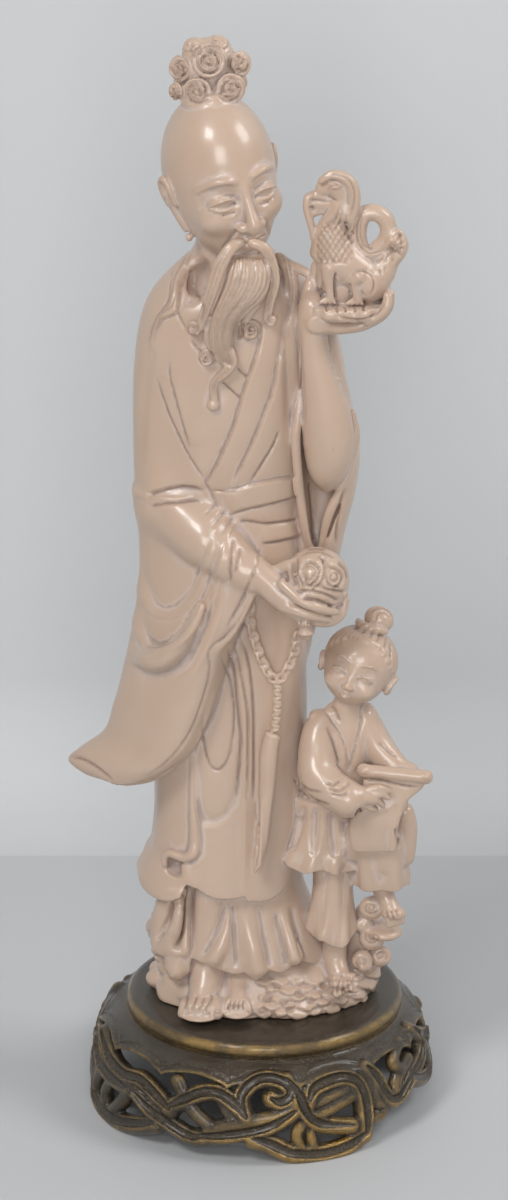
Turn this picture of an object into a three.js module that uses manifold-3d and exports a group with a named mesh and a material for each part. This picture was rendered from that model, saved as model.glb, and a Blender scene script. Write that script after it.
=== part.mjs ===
// A resin statuette of an old sage with a boy at his side, on a pierced bronze-coloured stand.
// Millimetres, +Z up. The sage faces -Y. Sections and paths are given about the stand's centre.
import * as THREE from "three";
import { mergeVertices } from "three/addons/utils/BufferGeometryUtils.js";
import Module from "manifold-3d";

const wasm = await Module();
wasm.setup();

// Driving dimensions
const figureTriangles = 6900;
const standTriangles = 3000;
const plateTop = 37; // height of the stand's table
const plateRadius = 43.6;
const seat = 0.3; // gap between the resin and the stand
const originShift = new THREE.Vector3(3.8, 0, 0); // brings the middle of the whole to the origin

const degree = Math.PI / 180;

// Solids from geometry

function solidFrom(geometry) {
  const bare = geometry.clone();
  for (const name of Object.keys(bare.attributes)) {
    if (name !== "position") bare.deleteAttribute(name);
  }
  const merged = mergeVertices(bare, 1e-4);
  return new wasm.Manifold(
    new wasm.Mesh({
      numProp: 3,
      vertProperties: new Float32Array(merged.attributes.position.array),
      triVerts: new Uint32Array(merged.index.array),
    }),
  );
}

// The outer skin of a solid. Pockets closed in on every side by the joined bodies are filled.
function geometryFrom(solid) {
  const { vertProperties: flat, triVerts: corners } = solid.getMesh();
  const parent = Array.from({ length: flat.length / 3 }, (_, point) => point);
  const root = (point) => {
    while (parent[point] !== point) point = parent[point] = parent[parent[point]];
    return point;
  };
  for (let k = 0; k < corners.length; k += 3) {
    parent[root(corners[k])] = root(corners[k + 1]);
    parent[root(corners[k + 1])] = root(corners[k + 2]);
  }
  const at = (point) => new THREE.Vector3().fromArray(flat, point * 3);
  const volume = new Map();
  for (let k = 0; k < corners.length; k += 3) {
    const [a, b, c] = [0, 1, 2].map((n) => at(corners[k + n]));
    const shell = root(corners[k]);
    volume.set(shell, (volume.get(shell) ?? 0) + a.dot(b.cross(c)) / 6);
  }
  const kept = [];
  for (let k = 0; k < corners.length; k += 3) {
    if (volume.get(root(corners[k])) > 0) kept.push(corners[k], corners[k + 1], corners[k + 2]);
  }
  const geometry = new THREE.BufferGeometry();
  geometry.setAttribute("position", new THREE.BufferAttribute(flat, 3));
  geometry.setIndex(kept);
  geometry.computeVertexNormals();
  return geometry;
}

function join(solids) {
  return solids.reduce((whole, next) => whole.add(next));
}

// The planes that meet at a point, added up as a symmetric 4 x 4 matrix in ten numbers.
function addPlane(sum, [a, b, c, d], weight) {
  const terms = [a * a, a * b, a * c, a * d, b * b, b * c, b * d, c * c, c * d, d * d];
  terms.forEach((term, k) => (sum[k] += term * weight));
}

function strayed(sum, { x, y, z }) {
  const flat = sum[0] * x * x + sum[4] * y * y + sum[7] * z * z;
  const mixed = sum[1] * x * y + sum[2] * x * z + sum[5] * y * z;
  return flat + 2 * mixed + 2 * (sum[3] * x + sum[6] * y + sum[8] * z) + sum[9];
}

// Thins a closed skin to about the wanted number of triangles, drawing together first the
// edges whose loss moves the surface least. The skin stays closed and no triangle turns over.
function thinned(geometry, wanted) {
  const flat = geometry.attributes.position.array;
  const points = Array.from({ length: flat.length / 3 }, (_, k) =>
    new THREE.Vector3().fromArray(flat, k * 3),
  );
  let triangles = [];
  const index = geometry.index.array;
  for (let k = 0; k < index.length; k += 3) triangles.push([index[k], index[k + 1], index[k + 2]]);
  const sums = points.map(() => new Array(10).fill(0));
  const cross = (a, b, c) => b.clone().sub(a).cross(c.clone().sub(a));
  for (const corners of triangles) {
    const normal = cross(...corners.map((k) => points[k]));
    const area = normal.length();
    if (area < 1e-9) continue;
    normal.divideScalar(area);
    const plane = [normal.x, normal.y, normal.z, -normal.dot(points[corners[0]])];
    for (const k of corners) addPlane(sums[k], plane, area);
  }
  while (triangles.length > wanted) {
    const around = points.map(() => []);
    triangles.forEach((corners) => corners.forEach((k) => around[k].push(corners)));
    const near = (k) => new Set(around[k].flat().filter((other) => other !== k));
    const edges = [];
    for (const corners of triangles) {
      for (const n of [0, 1, 2]) {
        const [a, b] = [corners[n], corners[(n + 1) % 3]];
        if (a > b) continue;
        const sum = sums[a].map((term, k) => term + sums[b][k]);
        const choices = [points[a], points[b], points[a].clone().lerp(points[b], 0.5)];
        const costs = choices.map((choice) => strayed(sum, choice));
        const best = costs.indexOf(Math.min(...costs));
        const cost = costs[best] + 2e-3 * points[a].distanceToSquared(points[b]);
        edges.push({ a, b, cost, place: choices[best].clone(), sum });
      }
    }
    edges.sort((one, other) => one.cost - other.cost);
    const locked = new Set();
    let left = triangles.length;
    for (const { a, b, place, sum } of edges.slice(0, Math.ceil(edges.length / 3))) {
      if (left <= wanted) break;
      if (locked.has(a) || locked.has(b)) continue;
      const nearA = near(a);
      const nearB = near(b);
      if ([...nearA].filter((k) => nearB.has(k)).length !== 2) continue;
      const turned = [...around[a], ...around[b]].some((corners) => {
        if (corners.includes(a) && corners.includes(b)) return false;
        const before = cross(...corners.map((k) => points[k]));
        const after = cross(...corners.map((k) => (k === a || k === b ? place : points[k])));
        return after.length() < 0.02 || before.dot(after) < 0.3 * before.length() * after.length();
      });
      if (turned) continue;
      points[a].copy(place);
      sums[a] = sum;
      for (const corners of around[b]) corners[corners.indexOf(b)] = a;
      [...nearA, ...nearB, a, b].forEach((k) => locked.add(k));
      left -= 2;
    }
    const fewer = triangles.filter(([a, b, c]) => a !== b && b !== c && c !== a);
    if (fewer.length === triangles.length) break;
    triangles = fewer;
  }
  const result = new THREE.BufferGeometry().setFromPoints(points);
  result.setIndex(triangles.flat());
  result.computeVertexNormals();
  return result;
}

// Rings of points, each ring the same length, become one closed skin with a point at each end.
function skin(rings, first, last) {
  const sides = rings[0].length;
  const points = [first, ...rings.flat(), last];
  const index = [];
  const at = (ring, side) => 1 + ring * sides + (side % sides);
  for (let side = 0; side < sides; side++) {
    index.push(0, at(0, side + 1), at(0, side));
    index.push(points.length - 1, at(rings.length - 1, side), at(rings.length - 1, side + 1));
    for (let ring = 0; ring + 1 < rings.length; ring++) {
      index.push(at(ring, side), at(ring, side + 1), at(ring + 1, side + 1));
      index.push(at(ring, side), at(ring + 1, side + 1), at(ring + 1, side));
    }
  }
  const geometry = new THREE.BufferGeometry().setFromPoints(points);
  geometry.setIndex(index);
  return geometry;
}

// A skin lofted upwards. A section is [z, left x, left y, right x, right y, half thickness].
// ripple(turn, z) moves a point outwards, and lift(turn, z) moves it up.
function loft(sections, { sides = 20, square = 2.3, ripple = null, lift = null } = {}) {
  const power = 2 / square;
  const middles = [];
  const rings = sections.map(([z, leftX, leftY, rightX, rightY, half]) => {
    const middle = new THREE.Vector3((leftX + rightX) / 2, (leftY + rightY) / 2, z);
    const along = new THREE.Vector3(rightX - leftX, rightY - leftY, 0).multiplyScalar(0.5);
    const across = new THREE.Vector3(-along.y, along.x, 0).setLength(half);
    middles.push(middle);
    return Array.from({ length: sides }, (_, side) => {
      const turn = (side / sides) * 2 * Math.PI;
      const c = Math.cos(turn);
      const s = Math.sin(turn);
      const out = along
        .clone()
        .multiplyScalar(Math.sign(c) * Math.abs(c) ** power)
        .addScaledVector(across, Math.sign(s) * Math.abs(s) ** power);
      if (ripple) out.addScaledVector(out.clone().normalize(), ripple(turn, z));
      if (lift) out.z += lift(turn, z);
      return middle.clone().add(out);
    });
  });
  return solidFrom(skin(rings, middles[0], middles[middles.length - 1]));
}

// A round bar along a smooth path of [x, y, z, radius]. flat squeezes it along the direction squeeze.
function limb(path, { sides = 6, steps = null, flat = 1, squeeze = [0, 1, 0] } = {}) {
  const curve = new THREE.CatmullRomCurve3(path.map(([x, y, z]) => new THREE.Vector3(x, y, z)));
  const count = steps ?? (path.length - 1) * 2;
  const direction = new THREE.Vector3(...squeeze).normalize();
  const frames = curve.computeFrenetFrames(count);
  const rings = [];
  for (let step = 0; step <= count; step++) {
    const middle = curve.getPoint(step / count);
    const place = (step / count) * (path.length - 1);
    const low = Math.min(Math.floor(place), path.length - 2);
    const radius = THREE.MathUtils.lerp(path[low][3], path[low + 1][3], place - low);
    rings.push(
      Array.from({ length: sides }, (_, side) => {
        const turn = (side / sides) * 2 * Math.PI;
        const out = frames.normals[Math.min(step, count)]
          .clone()
          .multiplyScalar(Math.cos(turn) * radius)
          .addScaledVector(frames.binormals[Math.min(step, count)], Math.sin(turn) * radius);
        out.addScaledVector(direction, (flat - 1) * out.dot(direction));
        return middle.clone().add(out);
      }),
    );
  }
  const tip = (step, sign) =>
    curve
      .getPoint(step / count)
      .addScaledVector(frames.tangents[step], sign * 0.6 * path[step ? path.length - 1 : 0][3]);
  return solidFrom(skin(rings, tip(0, -1), tip(count, 1)));
}

// An egg with its middle, three radii and, in degrees, its turns about X, Y and Z.
function egg([x, y, z], [rx, ry, rz], turns = [0, 0, 0], wide = 8, high = 6) {
  const geometry = new THREE.SphereGeometry(1, wide, high)
    .rotateX(Math.PI / 2)
    .scale(rx, ry, rz)
    .applyMatrix4(
      new THREE.Matrix4().makeRotationFromEuler(new THREE.Euler(...turns.map((t) => t * degree))),
    )
    .translate(x, y, z);
  return solidFrom(geometry);
}

// A flat spiral lock of hair or cloud in the plane that faces the direction facing.
function curl(middle, facing, radius, bar, { turns = 1.25, start = 0, sides = 5, steps = 9 } = {}) {
  const normal = new THREE.Vector3(...facing).normalize();
  const side = new THREE.Vector3(0, 0, 1).cross(normal);
  if (side.length() < 0.1) side.set(1, 0, 0);
  side.normalize();
  const up = normal.clone().cross(side);
  const path = Array.from({ length: steps }, (_, step) => {
    const share = step / (steps - 1);
    const turn = (start + share * turns) * 2 * Math.PI;
    const reach = (radius - bar) * (1 - 0.8 * share);
    const point = new THREE.Vector3(...middle)
      .addScaledVector(side, Math.cos(turn) * reach)
      .addScaledVector(up, Math.sin(turn) * reach)
      .addScaledVector(normal, share * bar * 0.6);
    return [point.x, point.y, point.z, bar * (1 - 0.35 * share)];
  });
  return limb(path, { sides, steps: steps - 1 });
}

// The sage's robes

function hemLift(turn, z, hemZ, sideRise) {
  const frontness = Math.max(0, -Math.sin(turn));
  return z === hemZ ? sideRise * (1 - frontness) : 0;
}

function robes() {
  const hemZ = 77;
  const gown = loft(
    [
      [hemZ, -39, -1, 10.5, -1, 22.5],
      [84, -38.5, -1, 11.5, -1, 21.5],
      [95, -35.5, -1, 13, -1, 20],
      [125, -35, -0.5, 14, -0.5, 19],
      [160, -34, -0.5, 13.5, -0.5, 18.5],
      [190, -33, 0, 13.5, 0, 18],
      [207, -32, 0, 13, 0, 17.5],
      [226, -34, 0, 13, 0, 18.5],
      [247, -36.5, 0, 14, 0, 19],
      [262, -36.5, 0, 15, 0, 18.5],
      [272, -34.5, 0, 15, 0, 17],
      [280, -29.5, 1, 12, 1, 14],
      [286, -24.5, 1, 7, 1, 10.5],
      [291, -20, 0, 1, 0, 8],
    ],
    {
      sides: 30,
      square: 2.4,
      ripple: (turn, z) => 1.1 * Math.cos(9 * turn + 0.6) * Math.max(0, (105 - z) / 30),
      lift: (turn, z) => hemLift(turn, z, hemZ, 5),
    },
  );
  const underRobe = loft(
    [
      [43, -33, 0, 21, 0, 20.5],
      [49, -35.5, 0, 22, 0, 22],
      [57, -36.5, 0, 19.5, 0, 21.5],
      [68, -34, 0, 15.5, 0, 19.5],
      [86, -31, 0, 11, 0, 17.5],
    ],
    {
      sides: 44,
      ripple: (turn, z) => 1.7 * Math.cos(11 * turn + 1.2) * Math.min(1, (90 - z) / 40),
      lift: (turn, z) => hemLift(turn, z, 43, -1),
    },
  );
  const belt = loft(
    [
      [193, -32, -0.5, 14.2, -0.5, 19.2],
      [200, -32, -0.5, 14.2, -0.5, 19.4],
      [210, -32, -0.5, 14.2, -0.5, 19.2],
    ],
    { sides: 26, square: 2.4, lift: (turn) => 2 * Math.cos(turn) },
  );
  return join([gown, underRobe, belt, ...lapels(), ...frontFolds()]);
}

function lapels() {
  const strap = (path) => limb(path, { sides: 6, flat: 0.4, squeeze: [0.2, -1, 0] });
  return [
    strap([
      [5.5, -15, 268, 3.4],
      [0.5, -19.5, 248, 3.9],
      [-6.5, -19.6, 230, 4.2],
      [-13, -18.6, 211, 3.8],
    ]),
    strap([
      [-25, -14, 272, 2.2],
      [-19, -18, 259, 2.4],
      [-9, -19.4, 247, 2.4],
    ]),
  ];
}

function frontFolds() {
  const fold = (path) => limb(path, { sides: 5, steps: 5 });
  return [
    fold([
      [-9.5, -18.4, 172, 1.2],
      [-6.5, -19, 140, 1.7],
      [-5.5, -20, 110, 1.9],
      [-6.5, -22.5, 80, 2.2],
    ]),
    fold([
      [-12.5, -18.6, 168, 1],
      [-9, -19.8, 128, 1.6],
      [-15, -19.6, 113, 1.6],
      [-20.5, -18.6, 128, 1.3],
    ]),
    fold([
      [-24, -17, 125, 1.2],
      [-23, -18.6, 104, 1.8],
      [-25, -20.5, 84, 2.4],
    ]),
  ];
}

// The sleeve that hangs from the lowered arm, hollow under its hem.
function loweredSleeve() {
  const upperArm = limb(
    [
      [-21, 1, 276, 9.5],
      [-26, 0.5, 266, 12],
      [-28.5, 0, 250, 12.5],
      [-28.8, -1, 226, 12.6],
      [-29, -3, 207, 12],
    ],
    { sides: 12, steps: 6 },
  );
  const foreArm = limb(
    [
      [-29, -5, 207, 10.5],
      [-17, -17, 198, 9],
      [-6, -24, 190.5, 6],
      [-1.5, -26, 188.5, 5],
    ],
    { sides: 10, steps: 5 },
  );
  const bag = loft(
    [
      [114.6, -56, -3, -43, -17, 4],
      [118, -62.6, 0, -37, -19.5, 6],
      [122, -58.6, 0, -32, -22, 7.5],
      [128, -49.6, 0, -26, -24, 9],
      [139, -45.4, 0, -20.5, -24.5, 9.5],
      [152, -41.6, 0, -16, -24.5, 10],
      [169, -38.4, 0, -10.5, -25, 10],
      [180, -38, 0, -5, -25, 9],
      [193, -38.2, 0, -2, -24.5, 8],
      [206, -38.6, 0, -16, -16, 9],
    ],
    { sides: 22, square: 2.6 },
  );
  const hollow = loft(
    [
      [110, -61, -1, -41, -18, 3.5],
      [119, -58.6, 0, -36, -20, 5],
      [126, -49, -3, -29, -22.5, 5.5],
      [134, -44, -6, -27, -20, 3],
    ],
    { sides: 12 },
  );
  const swags = [
    [7, 6],
    [15, 9],
    [24, 13],
    [35, 18],
  ].map(([drop, spread], row) =>
    limb(
      [
        [-36 - row * 1.2, -9, 190 - row * 4, 0.8],
        [-33.5 - row * 1.2, -15.5, 181 - drop, 1.5],
        [-24.5, -22.5 - row * 0.3, 178 - drop - spread * 0.4, 1.7],
        [-15 + row * 0.8, -27.5, 186 - drop, 1.5],
        [-9 + row * 1.2, -27.4, 196 - drop * 0.4 - row * 2, 0.9],
      ],
      { sides: 5, steps: 7 },
    ),
  );
  const elbowFold = limb(
    [
      [-39, -6, 210, 1],
      [-31, -14.5, 208, 2],
      [-22, -19, 210, 1.4],
    ],
    { sides: 5, steps: 3 },
  );
  return join([upperArm, foreArm, bag, elbowFold, ...swags]).subtract(hollow);
}

// The sleeve fallen back from the raised arm, open in front, with the bare arm rising out of it.
function raisedSleeve() {
  const bag = loft(
    [
      [153, 10, 3, 13.5, 3, 2],
      [160, 9.5, 2, 15.5, 2, 5],
      [172, 9, 1, 19.5, 1, 8],
      [186, 9, 0, 23.3, 0, 11.5],
      [197, 9, 0, 25.5, 0, 13],
      [212, 8.5, 0, 29, 0, 14],
      [222, 8, 0, 30, 0, 14.5],
      [233, 8, 0, 28.4, 0, 14.5],
      [245, 7, 0.5, 25.8, 0.5, 14],
      [258, 4, 1, 24, 1, 13],
      [270, 0, 1, 21, 1, 11],
      [278, -3, 1, 14.5, 1, 8],
    ],
    { sides: 20, square: 2.5 },
  );
  const mouth = loft(
    [
      [196, 14.5, -11, 17.5, -11, 7],
      [206, 12.5, -11, 22, -11, 9],
      [218, 11, -11, 26, -11, 10],
      [232, 10.5, -11, 26.5, -11, 9],
      [250, 11.5, -12, 22, -12, 5],
    ],
    { sides: 12 },
  );
  const arm = limb(
    [
      [21.5, -11.5, 218, 4.5],
      [20.6, -13, 225, 7.2],
      [19.3, -14.5, 235, 7.4],
      [17.4, -15, 245, 5.6],
      [15.8, -15, 256, 4],
      [15.2, -14.5, 267, 3.6],
    ],
    { sides: 10, steps: 8 },
  );
  const upperArm = limb(
    [
      [11, -1, 262, 8],
      [16, -5, 243, 8],
      [20, -9, 226, 7],
    ],
    { sides: 8, steps: 3 },
  );
  return join([bag.subtract(mouth), arm, upperArm]);
}

// The sage's head. Points on it are [right, forward, up] from its middle, before it turns and bows.
const headMiddle = new THREE.Vector3(-13.4, -5, 313.5);
const headRadii = [17, 19.5];
const headTurns = new THREE.Euler(5 * degree, -10 * degree, 24 * degree, "ZYX");

function onHead([right, forward, up]) {
  return new THREE.Vector3(right, -forward, up).applyEuler(headTurns).add(headMiddle).toArray();
}

function onHeadPath(path) {
  return path.map(([right, forward, up, radius]) => [...onHead([right, forward, up]), radius]);
}

function headEgg(middle, radii, wide = 6, high = 4) {
  const turns = [headTurns.x, headTurns.y, headTurns.z];
  const geometry = new THREE.SphereGeometry(1, wide, high)
    .rotateX(Math.PI / 2)
    .scale(...radii)
    .applyMatrix4(
      new THREE.Matrix4().makeRotationFromEuler(new THREE.Euler(...turns, headTurns.order)),
    )
    .translate(...onHead(middle));
  return solidFrom(geometry);
}

function sageHead() {
  const cranium = headEgg([0, -1.5, 3], [headRadii[0], headRadii[1], 24], 16, 11);
  const jaw = headEgg([0, 3, -12], [13.6, 13.4, 13], 10, 8);
  const nose = limb(
    onHeadPath([
      [0, 17.2, -1, 1.4],
      [0, 19.2, -8, 2],
      [0, 18.6, -11, 2.4],
    ]),
    { sides: 6, steps: 3 },
  );
  const brows = [-1, 1].map((side) =>
    limb(
      onHeadPath([
        [side * 2.6, 16.6, 0.5, 1.3],
        [side * 7, 15.2, 2, 1.4],
        [side * 11, 11.6, 0.6, 1],
      ]),
      { sides: 5, steps: 3 },
    ),
  );
  const cheeks = [-1, 1].map((side) => headEgg([side * 8, 11.5, -8.5], [4.5, 4.5, 4]));
  const ears = [-1, 1].map((side) =>
    limb(
      onHeadPath([
        [side * 16.6, -1.5, 5, 2.6],
        [side * 18, -1.8, -1, 3.6],
        [side * 17, -0.8, -7, 2.8],
        [side * 15, 0.5, -13, 1.8],
        [side * 14.4, 1, -18, 2],
      ]),
      { sides: 6, steps: 6, flat: 0.7, squeeze: [1, 0.4, 0] },
    ),
  );
  const neck = limb(
    [
      [-12, 2, 282, 9],
      [-12.5, 0, 297, 9],
    ],
    { sides: 8, steps: 1 },
  );
  return join([cranium, jaw, nose, neck, ...brows, ...cheeks, ...ears]);
}

// Topknot: a collar with rings of spiral curls over it.
function topknot() {
  const rim = limb(
    onHeadPath(
      Array.from({ length: 9 }, (_, step) => {
        const turn = (step / 8.4) * 2 * Math.PI;
        return [7.2 * Math.cos(turn), 7.2 * Math.sin(turn) - 4, 26, 1.3];
      }),
    ),
    { sides: 5, steps: 12 },
  );
  const core = headEgg([0, -4, 32], [8.5, 8, 8.6], 8, 6);
  const rings = [
    { count: 6, up: 30, reach: 7.6, start: 0.75, radius: 4.6 },
    { count: 5, up: 36.6, reach: 6.6, start: 0.62, radius: 4.4 },
    { count: 1, up: 39.4, reach: 0.5, start: 0.75, radius: 4 },
  ];
  const curls = rings.flatMap(({ count, up, reach, start, radius }) =>
    Array.from({ length: count }, (_, step) => {
      const turn = (start + step / count) * 2 * Math.PI;
      const middle = onHead([reach * Math.cos(turn), -reach * Math.sin(turn) - 4, up]);
      const facing = new THREE.Vector3(...middle).sub(new THREE.Vector3(...onHead([0, -4, up - 3])));
      return join([
        egg(middle, [radius, radius, radius], [0, 0, 30 * step], 6, 5),
        curl(
          facing.clone().setLength(radius * 0.55).add(new THREE.Vector3(...middle)).toArray(),
          facing.toArray(),
          radius * 0.85,
          1.1,
          { start: step / count, sides: 4, steps: 7 },
        ),
      ]);
    }),
  );
  return join([rim, core, ...curls]);
}

// Beard, moustache and the two locks that fall on the shoulders.
function whiskers() {
  const front = { flat: 0.55, squeeze: [0.3, -1, 0] };
  const beard = limb(
    [
      [-4.6, -22, 296, 5],
      [-5.2, -24, 288, 7.4],
      [-6.5, -23.5, 279, 7.2],
      [-10, -22.5, 270, 5.2],
      [-13.4, -21.5, 262.5, 3.6],
      [-12.6, -21, 257, 3],
      [-15.2, -20.5, 251, 2],
      [-16, -20, 245, 1.5],
    ],
    { sides: 9, steps: 10, ...front },
  );
  const strands = [
    [
      [-6, -19.4, 301, 1.8],
      [-10.5, -21.4, 296.5, 1.9],
      [-14.6, -21.8, 286, 1.8],
      [-17, -20.6, 276, 1.6],
      [-19.6, -19.4, 270, 1.5],
    ],
    [
      [-3.4, -19.6, 301, 1.8],
      [1, -20.4, 296, 1.9],
      [3.4, -19.6, 286, 1.8],
      [2.4, -19, 275, 1.6],
    ],
    [
      [-23.5, -4, 292, 2.2],
      [-26.6, -7, 284, 2.2],
      [-28, -10, 275, 2.2],
      [-31.6, -10.4, 268, 1.9],
      [-34.6, -9, 259, 1.4],
    ],
    [
      [1.6, -5, 296, 2.2],
      [4.4, -8.5, 288, 2.2],
      [7, -12.6, 277, 2],
      [7.8, -15, 266, 1.6],
    ],
    [
      [-1.5, -22, 283, 2.4],
      [-4, -21.5, 275, 2.6],
      [-6.5, -20.8, 269, 2.2],
    ],
  ].map((path) => limb(path, { sides: 5, steps: 5 }));
  const curls = [
    [[-21.4, -19, 270.5], 3.1],
    [[1.6, -19.2, 273], 2.9],
    [[-17.6, -20.6, 260.5], 3.3],
    [[-4.6, -20.8, 269.5], 3.7],
  ].flatMap(([middle, radius]) => [
    egg(middle, [radius * 0.75, 1.2, radius * 0.75], [0, 0, 0], 6, 4),
    curl(middle, [0.1, -1, 0.1], radius, 1.4, { sides: 4, steps: 8 }),
  ]);
  const knob = egg([-16.6, -20.3, 243], [2.4, 1.9, 2], [0, 0, 0], 6, 4);
  return join([beard, knob, ...strands, ...curls]);
}

// The raised hand with the leaf and the beast that sits on it.
function raisedHand() {
  const palm = limb(
    [
      [14.6, -14, 266, 3.6],
      [18, -14, 268.8, 3.7],
      [25, -14, 269.6, 3.3],
      [31, -14, 270.8, 2.6],
    ],
    { sides: 8, steps: 5, flat: 1.8, squeeze: [0, 1, 0] },
  );
  const fingers = [-18.2, -15.2, -12.2, -9.4].map((y, number) =>
    limb(
      [
        [29, y, 270.6, 1.8],
        [34.5, y, 272.2 + number * 0.2, 1.7],
        [37.8, y, 275.8 + number * 0.4, 1.5],
        [38, y + 0.4, 279.4 + number * 0.6, 1.2],
      ],
      { sides: 5, steps: 4 },
    ),
  );
  const thumb = limb(
    [
      [13.6, -15.5, 267, 2.6],
      [12.4, -15, 273, 2.1],
      [13.6, -13.5, 279, 1.5],
    ],
    { sides: 6, steps: 3 },
  );
  const leaf = loft(
    [
      [270.8, 17, -14, 34, -14, 6],
      [273, 14, -14, 37, -14, 8.5],
      [275.8, 13.4, -14, 37.6, -14, 9],
      [276.4, 14, -14, 37, -14, 8.6],
    ],
    { sides: 22, ripple: (turn) => 0.45 * Math.cos(11 * turn) },
  );
  return join([palm, thumb, leaf, ...fingers]);
}

function beast() {
  const trunk = limb(
    [
      [34, -13, 281.5, 4.4],
      [30.5, -13, 283.5, 6],
      [25.5, -13, 288.5, 6.6],
      [21.6, -13, 295.5, 5.6],
      [21, -13, 302.5, 4.4],
      [20.8, -13, 307.6, 4.8],
      [21, -13, 311, 3.6],
    ],
    { sides: 9, steps: 9, flat: 0.85 },
  );
  const crest = limb(
    [
      [17.6, -13, 313.4, 2],
      [22, -13, 314.8, 2.4],
      [25.4, -13, 310, 2.4],
      [26, -13, 302, 2.2],
      [25.4, -13, 295, 1.4],
    ],
    { sides: 6, steps: 6, flat: 1.5 },
  );
  const muzzle = limb(
    [
      [19.4, -13, 309.4, 3],
      [15.6, -13, 309, 2.4],
      [13.6, -13, 307.4, 1.9],
      [13.4, -13, 303, 1.6],
      [14.6, -13, 297.5, 1.5],
      [16.6, -13, 294.5, 1.6],
    ],
    { sides: 6, steps: 7, flat: 1.3 },
  );
  const chin = limb(
    [
      [19.4, -13, 305.4, 1.8],
      [14.2, -13, 303.6, 1.5],
    ],
    { sides: 5, steps: 1 },
  );
  const legs = [-18.4, -9].flatMap((y) => [
    limb(
      [
        [22.4, y + (y < -13 ? 1.6 : -1.6), 286.5, 2.6],
        [22.6, y, 280.6, 2],
        [22, y - 0.4, 277, 2.2],
      ],
      { sides: 6, steps: 3 },
    ),
    egg([31.5, y + (y < -13 ? 1.2 : -1.2), 281, ], [4.2, 3, 5], [0, 15, 0], 7, 5),
    limb(
      [
        [28.6, y, 282.6, 2.2],
        [28.2, y - 0.3, 277, 2],
      ],
      { sides: 6, steps: 1 },
    ),
  ]);
  const loop = Array.from({ length: 9 }, (_, step) => {
    const turn = (-0.18 - step / 8.5) * 2 * Math.PI;
    return [33 + 5.6 * Math.cos(turn), -11 + step * 0.25, 296.8 + 6.4 * Math.sin(turn), 2.4];
  });
  const tail = limb([...loop, [40.6, -11, 295.5, 2.3], [42.4, -11.5, 291.6, 2], [39.6, -12, 290, 1.5]], {
    sides: 6,
    steps: 17,
    flat: 1.3,
  });
  const rump = egg([36.6, -13, 287.5], [4, 4.5, 5.5], [0, 25, 0], 7, 5);
  return join([trunk, crest, muzzle, chin, tail, rump, ...legs]);
}

// The lowered hand with its pierced ball, and the beads and tassel that hang from it.
function loweredHand() {
  const ballMiddle = [15.3, -26.5, 187];
  const ball = solidFrom(new THREE.IcosahedronGeometry(10.7, 2).translate(...ballMiddle));
  const rings = [
    [0.3, -1, 0.35],
    [0.95, -0.6, 0.1],
    [-0.6, -1, 0.3],
  ].map((facing) => {
    const normal = new THREE.Vector3(...facing).normalize();
    const middle = normal.clone().multiplyScalar(9.6).add(new THREE.Vector3(...ballMiddle));
    return curl(middle.toArray(), facing, 4.6, 0.9, { turns: 1.1, sides: 4, steps: 8 });
  });
  const palm = limb(
    [
      [-4, -25, 190.5, 4.2],
      [1, -27, 187.6, 4.6],
      [7, -29, 182, 5],
      [13, -29.5, 178, 4.6],
      [20, -27.5, 177, 4],
    ],
    { sides: 8, steps: 6 },
  );
  const fingers = [
    [
      [7, -33, 184.6, 2],
      [14, -37, 182.4, 1.7],
      [22, -35.4, 179.6, 1.3],
    ],
    [
      [7, -32, 181, 2],
      [14, -36, 179, 1.8],
      [22.6, -34, 176.8, 1.4],
    ],
    [
      [12, -31, 176, 2],
      [18, -32.5, 175.4, 1.8],
      [24.4, -29.5, 177.6, 1.5],
    ],
    [
      [16, -27, 175.4, 2],
      [23, -25, 177.6, 1.8],
      [25.8, -24, 183, 1.4],
    ],
  ].map((path) => limb(path, { sides: 6, steps: 3 }));
  const knob = limb(
    [
      [12.9, -26, 176, 2.4],
      [12.9, -26, 173.4, 2.8],
      [12.9, -25, 170, 1.8],
    ],
    { sides: 6, steps: 3 },
  );
  const beads = limb(
    [
      [-4.4, -20, 178.5, 0.9],
      [-3.6, -20.2, 167.5, 0.9],
      [-0.6, -20.2, 159.6, 0.9],
      [3.9, -20.2, 154.4, 1.1],
      [7.4, -19.8, 160, 0.9],
      [10.4, -19.6, 168, 0.9],
      [12, -22.5, 171, 0.9],
    ],
    { sides: 5, steps: 14, flat: 1.4 },
  );
  const tassel = limb(
    [
      [3.9, -20.4, 153.8, 1.5],
      [3.4, -20.6, 141, 1.7],
      [2.4, -20.8, 132, 2.6],
      [-0.4, -21, 126, 2.6],
      [-1.8, -21.2, 113, 2.6],
      [-2.6, -21.6, 99, 2.1],
      [-3.8, -22.4, 88, 1],
    ],
    { sides: 6, steps: 10 },
  );
  return join([ball, palm, knob, beads, tassel, ...fingers, ...rings]);
}

// Bare feet: a wedge with a high ankle and a row of toes.
function foot([x, y, z], turn, size, toes = 4) {
  const c = Math.cos(turn * degree);
  const s = Math.sin(turn * degree);
  const at = (right, forward, up) => [
    x + size * (right * c - forward * s),
    y - size * (forward * c + right * s),
    z + size * up,
  ];
  const instep = limb(
    [
      [...at(0, -2, 11), 3.9 * size],
      [...at(0, 0, 5.5), 4.6 * size],
      [...at(0, 6, 2.8), 4.6 * size],
      [...at(0, 10, 1.8), 3.6 * size],
    ],
    { sides: 8, steps: 5 },
  );
  const toeRow = Array.from({ length: toes }, (_, number) => {
    const right = ((number + 0.5) / toes - 0.5) * 10;
    return egg(at(right, 12.2 - Math.abs(right) * 0.25, 0.9), [1.4, 3, 1.8].map((r) => r * size), [0, 0, -turn], 6, 4);
  });
  return join([instep, ...toeRow]);
}

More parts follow.
